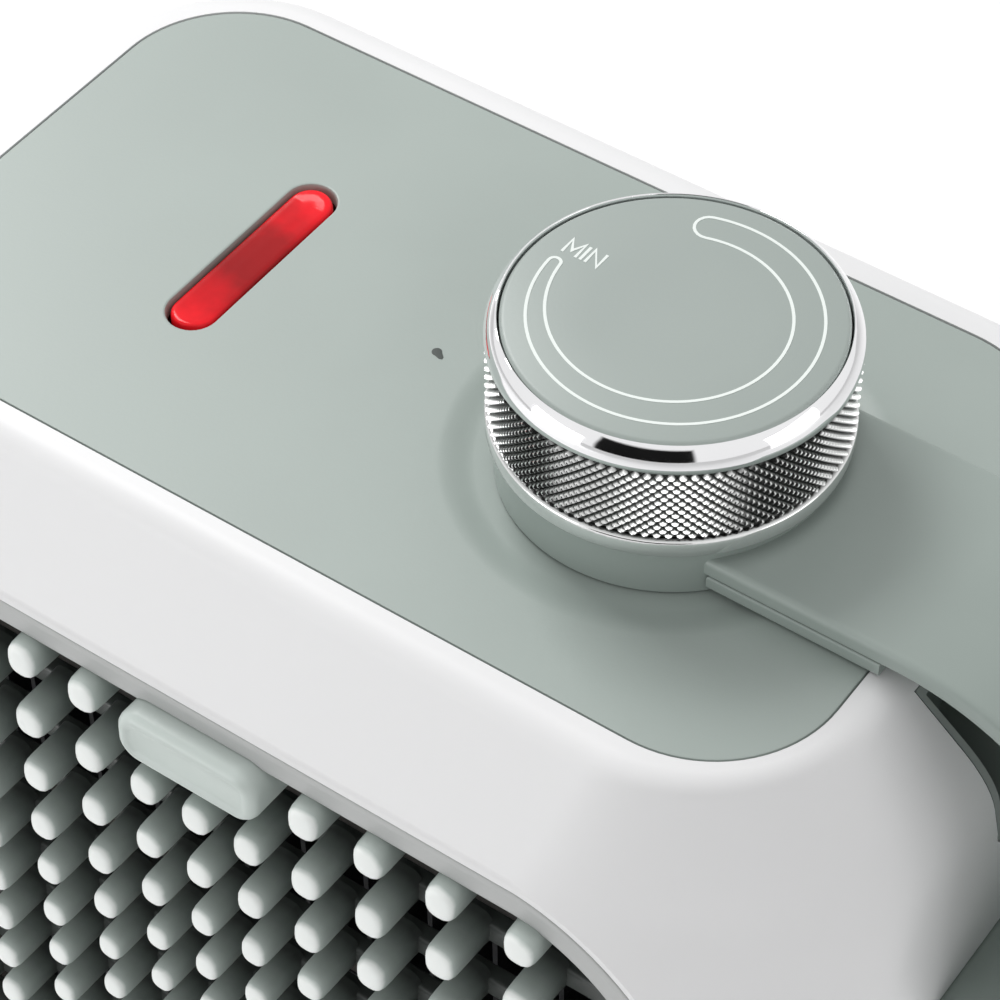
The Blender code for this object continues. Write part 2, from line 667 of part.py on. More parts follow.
def make_heater():
    low, high = FAN_Z - HEATER_HALF_HEIGHT, FAN_Z + HEATER_HALF_HEIGHT
    frame = [rounded(FRAME_HALF_WIDTH, low - 0.010, high + 0.010, 0.006, 0.006, 4),
             rounded(HEATER_HALF_WIDTH, low, high, 0.001, 0.001, 2)]
    plate("heater_frame", frame, 0.026, 0.047, (0, 0, 0), FRONT_FACING, ((0.30, 0.27, 0.22), 0.6))
    bar_height, fin_height = 0.008, 0.028
    half = HEATER_HALF_WIDTH - GAP
    z = low
    for number in range(5):
        if number % 2 == 0:
            bottom, top = z + GAP, z + fin_height - GAP
            outline = [(-half, bottom), (half, bottom), (half, top), (-half, top)]
            holes = slots(half, bottom + 0.001, top - 0.001, 21, 0.0009)
            plate(f"heat_fins_{number // 2 + 1}", [outline] + holes, HEATER_BACK, HEATER_FRONT, (0, 0, 0),
                  FRONT_FACING, (STEEL, 0.4, 1.0))
            z += fin_height
        else:
            index = number // 2 + 1
            box(f"ptc_bar_{index}", (-half, -HEATER_FRONT, z + GAP),
                (half, -HEATER_BACK, z + bar_height - GAP), ((0.25, 0.22, 0.20), 0.6))
            side = 0.045 if index == 1 else -0.045
            box(f"heater_terminal_{index}", (side - 0.003, -0.0277, z + 0.0034),
                (side + 0.003, -0.020, z + 0.0046), (STEEL, 0.3, 1.0))
            z += bar_height
    box("thermal_cutout", (-0.008, -0.042, high + 0.0103), (0.008, -0.032, high + 0.017), (BLACK, 0.5))


def make_fan():
    axis = (0, 0, FAN_Z)
    shroud_look = ((0.10, 0.11, 0.11), 0.5)
    low, high, half = BASE_Z + LEDGE_DROP, SHROUD_TOP, FRAME_HALF_WIDTH
    outline = [(-half, low), (half, low), (half, high), (-half, high)]
    duct_hole = shifted(arc(0, 0, 0.0575, 0, 350, 35), 0, FAN_Z)
    shroud = plate("fan_shroud", [outline, duct_hole], 0.0217, 0.0257, (0, 0, 0), FRONT_FACING, shroud_look)
    duct = tube("fan_duct", 0.0575, 0.0600, -0.0230, 0.0080, axis, ALONG_Y, segments=36)
    combine(shroud, duct, "UNION")

    wheel = turned("fan_wheel", [(0.0180, 0.0050), (0.0180, -0.0110), (0.0150, -0.0140), (0.0019, -0.0140),
                                 (0.0019, 0.0050)], axis, ALONG_Y, (WHITE, 0.45), 32, closed=True)
    wheel.data.name = "fan_wheel_hub"
    blades = bmesh.new()
    for number in range(7):
        turn = Matrix.Rotation(2 * math.pi * number / 7, 4, "Z")
        out = Matrix.Translation(((FAN_RADIUS + 0.0155) / 2, 0, -0.0045))
        pitch = Matrix.Rotation(math.radians(58), 4, "X")
        size = Matrix.Diagonal((FAN_RADIUS - 0.0155, 0.0014, 0.0190, 1))
        bmesh.ops.create_cube(blades, size=1, matrix=turn @ out @ pitch @ size)
    combine(wheel, place("fan_blades", mesh_from(blades, "fan_blades"), axis, ALONG_Y), "UNION")

    cylinder("motor_shaft", 0.0016, -0.0150, 0.0340, axis, ALONG_Y, (STEEL, 0.25, 1.0), segments=16)
    tube("motor_bearing", 0.0019, 0.0050, 0.0080, 0.0103, axis, ALONG_Y, ((0.6, 0.42, 0.2), 0.35, 1.0), 24)
    tube("fan_motor", 0.0019, 0.0220, 0.0106, 0.0360, axis, ALONG_Y, (STEEL, 0.4, 1.0))
    bracket = box("motor_bracket", (-0.0595, 0.0083, FAN_Z - 0.005), (0.0595, 0.0113, FAN_Z + 0.005),
                  (STEEL, 0.4, 1.0))
    combine(bracket, box("bracket_arm", (-0.005, 0.0083, FAN_Z - 0.0595), (0.005, 0.0113, FAN_Z + 0.0595)),
            "UNION")
    combine(bracket, cylinder("bracket_hub", 0.0275, 0.0083, 0.0113, axis, ALONG_Y), "UNION")
    combine(bracket, cylinder("bracket_bore", 0.0223, 0.0, 0.05, axis, ALONG_Y))


# ---------------------------------------------------------------- rear, base and fasteners

def screw_part(name, location, rotation):
    """A pan-head screw, its shank along its own +z from the underside of the head."""
    profile = [(0, 0.0055), (0.0014, 0.0055), (0.0014, 0), (0.0028, 0), (0.0028, -0.0008), (0, -0.0015)]
    turned(name, profile, location, rotation, (STEEL, 0.35, 1.0), 12)


def make_rear():
    outline = rounded(COVER_HALF_WIDTH, COVER_LOW, COVER_HIGH, 0.016, 0.016, 6)
    holes = []
    for side in (-1, 1):
        for row in range(11):
            z = FAN_Z + 0.005 + (row - 5) * 0.0108
            slot = rounded(0.0265, z - 0.0024, z + 0.0024, 0.0021, 0.0021, 2)
            holes.append(shifted(slot, side * 0.0310, 0))
    look = (WHITE, 0.4)
    cover = plate("rear_cover", [outline] + holes, -COVER_Y - COVER_THICK, -COVER_Y - GAP, (0, 0, 0),
                  FRONT_FACING, look)
    for number, (x, z) in enumerate(COVER_SCREWS):
        combine(cover, cylinder(f"cover_hole_{number}", 0.0017, 0.05, 0.08, (x, 0, z), ALONG_Y, segments=16))
        screw_part(f"rear_screw_{number + 1}", (x, COVER_Y + 0.0032, z), (math.pi / 2, 0, 0))
    inner = rounded(COVER_HALF_WIDTH - 0.0104, COVER_LOW + 0.0124, COVER_HIGH - 0.0124, 0.0116, 0.0116, 5)
    window = [rounded(0.0290, COVER_LOW + 0.020, COVER_HIGH - 0.020, 0.003, 0.003, 2)]
    windows = [shifted(window[0], side * 0.0315, 0) for side in (-1, 1)]
    plate("rear_filter", [inner] + windows, -COVER_Y - 0.0001, -COVER_Y + 0.0024, (0, 0, 0), FRONT_FACING,
          (DARK_GREEN, 0.7))
    gland = [(0.0080, 0.0031), (0.0080, 0.0004), (0.0053, 0.0004), (0.0053, -0.0050), (0.0038, -0.0050),
             (0.0038, 0.0031)]
    turned("cord_gland", gland, (GLAND_X, COVER_Y, GLAND_Z), ALONG_Y, (BLACK, 0.6), closed=True)


def make_base():
    base = plate("base_plate", [base_outline()], BASE_Z, BASE_Z + 0.0022, look=(DARK_GREEN, 0.6))
    for number, (x, y) in enumerate(BASE_SCREWS):
        combine(base, cylinder(f"plate_hole_{number}", 0.0017, 0, 0.02, (x, y, 0), segments=16))
        screw_part(f"base_screw_{number + 1}", (x, y, BASE_Z - GAP), (0, 0, 0))
    for number, (x, y) in enumerate(FEET):
        profile = [(0, BASE_Z - GAP), (FOOT_RADIUS, BASE_Z - GAP), (FOOT_RADIUS, 0.0008),
                   (FOOT_RADIUS - 0.0008, 0), (0, 0)]
        turned(f"foot_{number + 1}", profile, (x, y, 0), look=((0.05, 0.05, 0.05), 0.85), segments=24)
    floor = BASE_Z + LEDGE_DROP + GAP
    box("tip_switch", (-0.062, 0.014, floor - 0.003), (-0.038, 0.032, floor + 0.018), (BLACK, 0.5))
    box("terminal_block", (0.028, 0.014, floor - 0.003), (0.062, 0.030, floor + 0.012),
        ((0.7, 0.68, 0.6), 0.5))


make_shell()
make_handle()
make_grille()
make_panel()
make_dial()
make_rocker()
make_heater()
make_fan()
make_rear()
make_base()
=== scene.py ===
"""Looks of a compact ceramic fan heater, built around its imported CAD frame. Metres, +Z up, front at -Y.

Shapes are drawn from the body's centre: x from the middle of the top panel, y from the dial's axis
and z from the floor. Each piece's object then stands at BODY_CENTRE.
"""
import json
import math

import bmesh
import bpy
from mathutils import Matrix, Vector


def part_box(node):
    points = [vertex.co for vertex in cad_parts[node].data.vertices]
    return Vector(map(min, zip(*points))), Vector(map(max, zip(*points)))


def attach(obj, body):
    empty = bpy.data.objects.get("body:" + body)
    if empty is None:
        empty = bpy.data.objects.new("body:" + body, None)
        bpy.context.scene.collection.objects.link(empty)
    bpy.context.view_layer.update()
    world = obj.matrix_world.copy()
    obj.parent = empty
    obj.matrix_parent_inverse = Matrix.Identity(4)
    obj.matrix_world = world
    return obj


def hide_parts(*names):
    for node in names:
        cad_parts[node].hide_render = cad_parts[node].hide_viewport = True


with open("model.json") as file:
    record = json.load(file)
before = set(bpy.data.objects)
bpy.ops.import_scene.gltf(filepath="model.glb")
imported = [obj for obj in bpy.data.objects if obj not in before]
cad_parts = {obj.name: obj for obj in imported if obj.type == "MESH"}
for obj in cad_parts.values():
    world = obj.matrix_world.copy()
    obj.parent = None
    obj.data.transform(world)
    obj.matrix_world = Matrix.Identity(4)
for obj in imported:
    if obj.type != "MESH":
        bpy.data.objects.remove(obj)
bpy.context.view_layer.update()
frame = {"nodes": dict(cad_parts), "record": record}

# What the frame says
PANEL_LOW, PANEL_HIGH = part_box("top_panel")
DIAL_LOW, DIAL_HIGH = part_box("dial_bezel")
BODY_CENTRE = Vector(((PANEL_LOW.x + PANEL_HIGH.x) / 2, (DIAL_LOW.y + DIAL_HIGH.y) / 2, 0))
PANEL_HALF_WIDTH = (PANEL_HIGH.x - PANEL_LOW.x) / 2
PANEL_FRONT = PANEL_LOW.y - BODY_CENTRE.y
PANEL_BACK = PANEL_HIGH.y - BODY_CENTRE.y
PANEL_Z = PANEL_HIGH.z
DIAL_X = (DIAL_LOW.x + DIAL_HIGH.x) / 2 - BODY_CENTRE.x
DIAL_RADIUS = (DIAL_HIGH.x - DIAL_LOW.x) / 2
BASE_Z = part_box("base_plate")[0].z

# The shell, as in the CAD
PANEL_RADIUS = 0.0202
PANEL_THICK = 0.0025
WALL = 0.0026
GAP = 0.0003
LEDGE_DROP = 0.0055
BORDER = 0.0021
EDGE_RADIUS = 0.005
SLOPE = math.radians(30)
SIDE_REACH = 0.0173
SIDE_RADIUS = 0.032
CORNER_GROWTH = 1.45
RAKE = math.radians(2)
OPENING_DROP = 0.0205
OPENING_TOP = PANEL_Z - OPENING_DROP
OPENING_BOTTOM = BASE_Z + OPENING_DROP
FRONT_Y = -0.0629
FRONT_BULGE = 0.0165

# Strap handle and the dial's collar
COLLAR_RADIUS = 0.0253
COLLAR_TOP = 0.0079
COLLAR_FOOT = -0.0004
COLLAR_BORE = 0.0195
STRAP_FRONT = -0.0182
STRAP_BACK = 0.0193
STRAP_TOP = 0.0061
STRAP_THICK = 0.0056
STRAP_SEAM = 0.0024
TONGUE_END_X = 0.0846
STRAP_BEND_X = 0.087
STRAP_RADIUS = 0.036
STRAP_SWEEP = math.radians(150)
STRAP_END_X = 0.0935

# Grille
ROW_REACH = 7
COLUMN_REACH = 6
PIN_WIDTH = 0.0050
PIN_HEIGHT = 0.0062
PIN_PROUD = 0.0026
BADGE_FRONT = PIN_PROUD + 0.0010
RIM_INSET = 0.0014
RIM_WIDTH = 0.0055
RIM_OVERLAP = 0.0022
GRILLE_DEPTH = 0.012
KNURL_DEPTH = 0.0008
WEB_BACK = -0.0095
WEB_FRONT = -0.0065

# Light: the dome's strength at the horizon and overhead, and the flag's span in degrees
SKY_LOW = 0.25
SKY_HIGH = 0.80
FLAG_AZIMUTH = (-8, 45)
FLAG_TOP = 34
FLAG_BLUR = 0.02

# Rocker, rear cover and fasteners
ROCKER_X = -0.0365
ROCKER_Y = -0.0009
ROCKER_HALF_LENGTH = 0.0178
ROCKER_HALF_WIDTH = 0.00375
SLOT_LENGTH = 0.0186
SLOT_WIDTH = 0.0041
COVER_HALF_WIDTH = 0.075
COVER_LOW = 0.050
COVER_HIGH = 0.200
COVER_Y = PANEL_BACK + SIDE_REACH
FAN_Z = 0.120
BASE_FRONT = -0.0500
BASE_BACK = 0.0440
BASE_HALF_WIDTH = 0.080
FOOT_RADIUS = 0.008
COVER_SCREWS = [(side * 0.069, z) for side in (-1, 1) for z in (COVER_LOW + 0.006, COVER_HIGH - 0.006)]
BASE_SCREWS = [(side * 0.0755, y) for side in (-1, 1) for y in (-0.027, 0.022)]
FEET = [(side * 0.064, y) for side in (-1, 1) for y in (-0.037, 0.030)]

IDENTITY = Matrix.Identity(4)
DIAL_PLACE = Matrix.Translation((DIAL_X, 0, PANEL_Z))
FRONT_PLACE = Matrix.Translation((0, FRONT_Y, OPENING_TOP)) @ Matrix.Rotation(math.pi / 2 - RAKE, 4, "X")
FACING_BACK = Matrix(((1, 0, 0, 0), (0, 0, 1, 0), (0, 1, 0, 0), (0, 0, 0, 1)))
FACING_SIDE = Matrix(((0, 0, 1, 0), (1, 0, 0, 0), (0, 1, 0, 0), (0, 0, 0, 1)))


# ---------------------------------------------------------------- camera, light and floor

def direction(azimuth, elevation):
    """The unit vector towards an azimuth (0 is straight ahead of the grille) and an elevation, in degrees."""
    a, e = math.radians(azimuth), math.radians(elevation)
    return Vector((math.sin(a) * math.cos(e), -math.cos(a) * math.cos(e), math.sin(e)))


def add_camera():
    azimuth, elevation, roll = 35.609, 47.605, math.radians(-0.503)
    back = direction(azimuth, elevation)
    right = Vector((math.cos(math.radians(azimuth)), math.sin(math.radians(azimuth)), 0))
    up = back.cross(right)
    level = right * math.cos(roll) + up * math.sin(roll)
    upright = up * math.cos(roll) - right * math.sin(roll)
    target = BODY_CENTRE + Vector((DIAL_X, 0, PANEL_Z))
    place = Matrix((level, upright, back)).transposed().to_4x4()
    place.translation = target + (back * 18.281 - level * 0.9168 - upright * 0.2294) * DIAL_RADIUS
    lens = bpy.data.cameras.new("camera")
    lens.lens = 121.2
    lens.clip_start = 0.01
    camera = bpy.data.objects.new("camera", lens)
    camera.matrix_world = place
    bpy.context.scene.collection.objects.link(camera)
    bpy.context.scene.camera = camera


def add_light(name, azimuth, elevation, distance, size, power):
    """A square soft box that looks at the object."""
    data = bpy.data.lights.new(name, "AREA")
    data.size = size
    data.energy = power
    light = bpy.data.objects.new(name, data)
    towards = direction(azimuth, elevation)
    light.location = Vector((0, 0, 0.15)) + towards * distance
    light.rotation_euler = towards.to_track_quat("Z", "Y").to_euler()
    bpy.context.scene.collection.objects.link(light)


def add_world():
    """A white studio dome, dimmer towards the horizon, with a hard black flag that the chrome reflects."""
    world = bpy.data.worlds.new("studio")
    bpy.context.scene.world = world
    world.use_nodes = True
    tree = world.node_tree
    way = tree.nodes.new("ShaderNodeTexCoord").outputs["Generated"]
    split = tree.nodes.new("ShaderNodeSeparateXYZ")
    tree.links.new(way, split.inputs[0])
    soft = remap(tree, split.outputs["Z"], 0.0, 0.9, SKY_LOW, SKY_HIGH)

    forward = calculate(tree, "MULTIPLY", split.outputs["Y"], -1)
    azimuth = calculate(tree, "ARCTAN2", split.outputs["X"], forward)
    middle = math.radians(sum(FLAG_AZIMUTH) / 2)
    half = math.radians((FLAG_AZIMUTH[1] - FLAG_AZIMUTH[0]) / 2)
    aside = calculate(tree, "ABSOLUTE", calculate(tree, "SUBTRACT", azimuth, middle))
    beside = remap(tree, aside, half - FLAG_BLUR, half + FLAG_BLUR, 0, 1)
    top = math.sin(math.radians(FLAG_TOP))
    above = remap(tree, split.outputs["Z"], top - FLAG_BLUR, top + FLAG_BLUR, 0, 1)
    clear = calculate(tree, "MAXIMUM", beside, above)
    mirrored = calculate(tree, "MULTIPLY", remap(tree, clear, 0, 1, 0.01, 1), 0.92)

    choose = tree.nodes.new("ShaderNodeMix")
    tree.links.new(tree.nodes.new("ShaderNodeLightPath").outputs["Is Glossy Ray"], choose.inputs["Factor"])
    tree.links.new(soft, choose.inputs["A"])
    tree.links.new(mirrored, choose.inputs["B"])
    tree.links.new(choose.outputs["Result"], tree.nodes["Background"].inputs["Strength"])
    tree.nodes["Background"].inputs["Color"].default_value = (1, 1, 1, 1)


def add_floor():
    bm = bmesh.new()
    bmesh.ops.create_grid(bm, x_segments=8, y_segments=8, size=12)
    mesh = bpy.data.meshes.new("floor")
    bm.to_mesh(mesh)
    bm.free()
    floor = bpy.data.objects.new("floor", mesh)
    bpy.context.scene.collection.objects.link(floor)
    paper = moulded("floor_paper", (0.93, 0.93, 0.93), 0.85, grain=500, depth=0.00002, drift=0.01)
    mesh.materials.append(paper)


# ---------------------------------------------------------------- materials

def calculate(tree, operation, first, second=None):
    """A Math node on sockets or plain numbers."""
    node = tree.nodes.new("ShaderNodeMath")
    node.operation = operation
    for socket, value in zip(node.inputs, (first, second)):
        if isinstance(value, (int, float)):
            socket.default_value = value
        elif value is not None:
            tree.links.new(value, socket)
    return node.outputs[0]


def remap(tree, socket, low, high, out_low, out_high):
    """A clamped linear change of range."""
    node = tree.nodes.new("ShaderNodeMapRange")
    tree.links.new(socket, node.inputs["Value"])
    node.inputs["From Min"].default_value = low
    node.inputs["From Max"].default_value = high
    node.inputs["To Min"].default_value = out_low
    node.inputs["To Max"].default_value = out_high
    return node.outputs["Result"]


def new_material(name, roughness, metallic=0.0):
    material = bpy.data.materials.new(name)
    material.use_nodes = True
    shader = material.node_tree.nodes["Principled BSDF"]
    shader.inputs["Roughness"].default_value = roughness
    shader.inputs["Metallic"].default_value = metallic
    return material, material.node_tree, shader


def noise(tree, scale, detail=3.0, stretch=(1, 1, 1)):
    """Noise in the piece's own coordinates. Its features are about 1 / scale metres across."""
    coords = tree.nodes.new("ShaderNodeTexCoord")
    mapping = tree.nodes.new("ShaderNodeMapping")
    mapping.inputs["Scale"].default_value = stretch
    texture = tree.nodes.new("ShaderNodeTexNoise")
    texture.inputs["Scale"].default_value = scale
    texture.inputs["Detail"].default_value = detail
    tree.links.new(coords.outputs["Object"], mapping.inputs["Vector"])
    tree.links.new(mapping.outputs["Vector"], texture.inputs["Vector"])
    return texture.outputs["Fac"]


def colour_stops(tree, socket, stops):
    """A ramp through (position, colour) stops."""
    ramp = tree.nodes.new("ShaderNodeValToRGB")
    while len(ramp.color_ramp.elements) < len(stops):
        ramp.color_ramp.elements.new(0.5)
    for element, (position, colour) in zip(ramp.color_ramp.elements, stops):
        element.position = position
        element.color = (*colour, 1)
    tree.links.new(socket, ramp.inputs["Fac"])
    return ramp.outputs["Color"]


def object_axes(tree):
    """The piece's own x, y and z, as sockets."""
    coords = tree.nodes.new("ShaderNodeTexCoord")
    split = tree.nodes.new("ShaderNodeSeparateXYZ")
    tree.links.new(coords.outputs["Object"], split.inputs[0])
    return split.outputs


def add_bump(tree, shader, socket, depth, strength=1.0):
    bump = tree.nodes.new("ShaderNodeBump")
    bump.inputs["Distance"].default_value = depth
    bump.inputs["Strength"].default_value = strength
    tree.links.new(socket, bump.inputs["Height"])
    tree.links.new(bump.outputs["Normal"], shader.inputs["Normal"])


def moulded(name, colour, roughness, grain=1500, depth=0.00001, drift=0.035):
    """Moulded plastic: a slow drift of tone, a fine grain, and roughness that follows the drift."""
    material, tree, shader = new_material(name, roughness)
    slow = noise(tree, 22)
    fine = noise(tree, grain, 2)
    dark = [c * (1 - drift) for c in colour]
    light = [min(1.0, c * (1 + drift)) for c in colour]
    tree.links.new(colour_stops(tree, slow, ((0.35, dark), (0.65, light))), shader.inputs["Base Color"])
    sheen = remap(tree, slow, 0.3, 0.7, roughness - 0.03, roughness + 0.04)
    tree.links.new(sheen, shader.inputs["Roughness"])
    add_bump(tree, shader, fine, depth)
    return material


def metal(name, colour, roughness, stretch=(1, 1, 1), scale=900, depth=0.000004):
    """Metal with fine marks. A stretch draws the marks out into brush lines."""
    material, tree, shader = new_material(name, roughness, 1.0)
    marks = noise(tree, scale, 3, stretch)
    stains = noise(tree, 60)
    dark = [c * 0.93 for c in colour]
    tree.links.new(colour_stops(tree, stains, ((0.3, dark), (0.7, colour))), shader.inputs["Base Color"])
    sheen = remap(tree, marks, 0.3, 0.7, roughness * 0.75, roughness * 1.3)
    tree.links.new(sheen, shader.inputs["Roughness"])
    add_bump(tree, shader, marks, depth)
    return material


def red_lens():
    """Translucent red plastic with a painted reflection bright at both ends, painted shade dark in the middle
    of its hollow top, and a faint painted glow.
    """
    material, tree, shader = new_material("rocker_red", 0.14)
    front, back = ROCKER_Y - ROCKER_HALF_LENGTH, ROCKER_Y + ROCKER_HALF_LENGTH
    along = remap(tree, object_axes(tree)["Y"], front, back, 0, 1)
    cloud = remap(tree, noise(tree, 160), 0.3, 0.7, -0.08, 0.08)
    # Painted reflection at both ends and painted shade along the middle of the hollow top.
    stops = ((0.0, (0.86, 0.004, 0.012)), (0.16, (0.62, 0.0, 0.006)), (0.40, (0.30, 0.0, 0.002)),
             (0.62, (0.34, 0.0, 0.002)), (0.86, (0.72, 0.001, 0.008)), (1.0, (0.90, 0.006, 0.016)))
    colour = colour_stops(tree, calculate(tree, "ADD", along, cloud), stops)
    tree.links.new(colour, shader.inputs["Base Color"])
    # The painted colour also drives a faint painted glow.
    tree.links.new(colour, shader.inputs["Emission Color"])
    shader.inputs["Emission Strength"].default_value = 0.04
    shader.inputs["Specular IOR Level"].default_value = 0.25
    add_bump(tree, shader, noise(tree, 500, 2), 0.00001)
    return material


def pin_plastic():
    """Grille plastic with painted shade that darkens from a pin's tip to its foot, deep in the grille, and a
    painted highlight on the pale tip.
    """
    material, tree, shader = new_material("pin_plastic", 0.40)
    coords = tree.nodes.new("ShaderNodeTexCoord")
    ahead = tree.nodes.new("ShaderNodeVectorMath")
    ahead.operation = "DOT_PRODUCT"
    tree.links.new(coords.outputs["Object"], ahead.inputs[0])
    outward = Vector((0, -math.cos(RAKE), math.sin(RAKE)))
    ahead.inputs[1].default_value = outward
    plane = outward.dot(Vector((0, FRONT_Y, OPENING_TOP)))
    along = remap(tree, ahead.outputs["Value"], plane + WEB_FRONT, plane + PIN_PROUD, 0, 1)
    drift = remap(tree, noise(tree, 140), 0.3, 0.7, -0.05, 0.05)
    # Painted shade deep in the grille, near black at the webs, and a painted highlight on the pins' tips.
    stops = ((0.0, (0.050, 0.057, 0.053)), (0.35, (0.19, 0.22, 0.205)), (0.70, (0.38, 0.43, 0.405)),
             (0.89, (0.50, 0.56, 0.53)), (0.96, (0.86, 0.89, 0.87)))
    colour = colour_stops(tree, calculate(tree, "ADD", along, drift), stops)
    tree.links.new(colour, shader.inputs["Base Color"])
    add_bump(tree, shader, noise(tree, 900, 2), 0.00003)
    return material


def knurled_chrome():
    """Chrome whose colour runs from dark in the knurl's valleys to bright on its points."""
    material, tree, shader = new_material("dial_chrome", 0.16, 1.0)
    axes = object_axes(tree)
    x = calculate(tree, "SUBTRACT", axes["X"], DIAL_X)
    square = calculate(tree, "ADD", calculate(tree, "MULTIPLY", x, x),
                       calculate(tree, "MULTIPLY", axes["Y"], axes["Y"]))
    radius = calculate(tree, "SQRT", square)
    height = remap(tree, radius, DIAL_RADIUS - KNURL_DEPTH, DIAL_RADIUS, 0, 1)
    stops = ((0.0, (0.06, 0.062, 0.06)), (0.45, (0.36, 0.365, 0.36)), (0.80, (0.80, 0.805, 0.80)),
             (1.0, (0.93, 0.93, 0.93)))
    tree.links.new(colour_stops(tree, height, stops), shader.inputs["Base Color"])
    marks = noise(tree, 2500)
    tree.links.new(remap(tree, marks, 0.3, 0.7, 0.10, 0.20), shader.inputs["Roughness"])
    add_bump(tree, shader, marks, 0.000004)
    return material


def mesh_fabric():
    """A fine woven dust filter."""
    material, tree, shader = new_material("filter_mesh", 0.8)
    coords = tree.nodes.new("ShaderNodeTexCoord")
    weave = None
    for axis in ("X", "Z"):
        wave = tree.nodes.new("ShaderNodeTexWave")
        wave.bands_direction = axis
        wave.inputs["Scale"].default_value = 260
        tree.links.new(coords.outputs["Object"], wave.inputs["Vector"])
        if weave is None:
            weave = wave.outputs["Fac"]
            continue
        product = tree.nodes.new("ShaderNodeMath")
        product.operation = "MAXIMUM"
        tree.links.new(weave, product.inputs[0])
        tree.links.new(wave.outputs["Fac"], product.inputs[1])
        weave = product.outputs[0]
    colour = colour_stops(tree, weave, ((0.2, (0.03, 0.035, 0.03)), (0.9, (0.20, 0.23, 0.21))))
    tree.links.new(colour, shader.inputs["Base Color"])
    add_bump(tree, shader, weave, 0.0002)
    return material


SAGE = (0.343, 0.394, 0.368)
MATERIALS = {
    "shell_white": moulded("shell_white", (0.78, 0.78, 0.785), 0.42, depth=0.000006, drift=0.012),
    "panel_green": moulded("panel_green", SAGE, 0.40, drift=0.03),
    # strap_green is the panel's sage made darker: painted shade on the strap and its collar.
    "strap_green": moulded("strap_green", (0.305, 0.355, 0.330), 0.38, drift=0.03),
    "liner_green": moulded("liner_green", (0.26, 0.29, 0.275), 0.45),
    "grille_green": pin_plastic(),
    "badge_green": moulded("badge_green", (0.54, 0.60, 0.57), 0.34, grain=900, depth=0.00003, drift=0.06),
    "dial_chrome": knurled_chrome(),
    "bezel_chrome": metal("bezel_chrome", (0.93, 0.93, 0.94), 0.05, scale=700, depth=0.000001),
    "disc_green": moulded("disc_green", (0.335, 0.380, 0.358), 0.36, drift=0.02),
    "rocker_red": red_lens(),
    "inner_plastic": moulded("inner_plastic", (0.045, 0.05, 0.048), 0.55, grain=900, depth=0.00003),
    # heater_mica and fins_aluminium are far darker than their own colour: painted shade deep behind the
    # grille.
    "heater_mica": moulded("heater_mica", (0.035, 0.032, 0.028), 0.6, grain=700, depth=0.00005, drift=0.15),
    "fins_aluminium": metal("fins_aluminium", (0.12, 0.12, 0.125), 0.45, (1, 1, 12), 500),
    "ceramic": moulded("ceramic", (0.06, 0.056, 0.05), 0.65, grain=1100, depth=0.00003, drift=0.1),
    "steel": metal("steel", (0.55, 0.55, 0.56), 0.32, (14, 1, 1), 400),
    "brass": metal("brass", (0.70, 0.50, 0.24), 0.35, (1, 1, 10), 400),
    "fan_white": moulded("fan_white", (0.72, 0.72, 0.70), 0.5, grain=1000, depth=0.00002),
    "black_plastic": moulded("black_plastic", (0.025, 0.025, 0.027), 0.5, grain=900, depth=0.00003,
                             drift=0.15),
    "lamp_glass": moulded("lamp_glass", (0.75, 0.16, 0.05), 0.12, grain=300, depth=0.00001),
    "filter_mesh": mesh_fabric(),
    "foot_rubber": moulded("foot_rubber", (0.035, 0.035, 0.036), 0.85, grain=1300, depth=0.00006, drift=0.12),
    "screw_steel": metal("screw_steel", (0.62, 0.62, 0.63), 0.28, (1, 1, 1), 1500),
}
LEGEND = moulded("legend_ink", (0.80, 0.85, 0.82), 0.5, drift=0.02)
# Painted shade for the panel's index dimple, which is not cut into the panel.
INDEX_SHADE = moulded("index_painted_shade", (0.05, 0.06, 0.055), 0.6)
RIM_GREY = moulded("rim_grey", (0.45, 0.46, 0.455), 0.40, drift=0.02)


# ---------------------------------------------------------------- mesh tools

def join_rings(bm, lower, upper):
    """Faces between two closed rings of vertices. A ring of one vertex is a pole."""
    count = max(len(lower), len(upper))
    for i in range(count):
        j = (i + 1) % count
        if len(lower) == 1:
            bm.faces.new((lower[0], upper[j], upper[i]))
        elif len(upper) == 1:
            bm.faces.new((lower[i], lower[j], upper[0]))
        else:
            bm.faces.new((lower[i], lower[j], upper[j], upper[i]))


def finish_mesh(bm, name, place=IDENTITY):
    bmesh.ops.recalc_face_normals(bm, faces=bm.faces)
    mesh = bpy.data.meshes.new(name)
    bm.to_mesh(mesh)
    bm.free()
    mesh.transform(place)
    if place.determinant() < 0:
        mesh.flip_normals()
    return mesh


def skin(name, rings, place=IDENTITY, loop=False):
    """A closed surface through rings of points, with flat ends or joined end to end."""
    bm = bmesh.new()
    levels = [[bm.verts.new(point) for point in ring] for ring in rings]
    for lower, upper in zip(levels, levels[1:]):
        join_rings(bm, lower, upper)
    if loop:
        join_rings(bm, levels[-1], levels[0])
    else:
        for level in (levels[0], levels[-1]):
            if len(level) > 1:
                bm.faces.new(level)
    return finish_mesh(bm, name, place)


def circle(radius, z, segments):
    """A ring of points about the z axis, or its pole."""
    if radius == 0:
        return [(0, 0, z)]
    angles = [2 * math.pi * i / segments for i in range(segments)]
    return [(radius * math.cos(a), radius * math.sin(a), z) for a in angles]


def turned(name, profile, place=DIAL_PLACE, segments=128, loop=False):
    """A turned solid from (radius, z) points. An open profile ends on the axis or gets flat ends."""
    return skin(name, [circle(radius, z, segments) for radius, z in profile], place, loop)


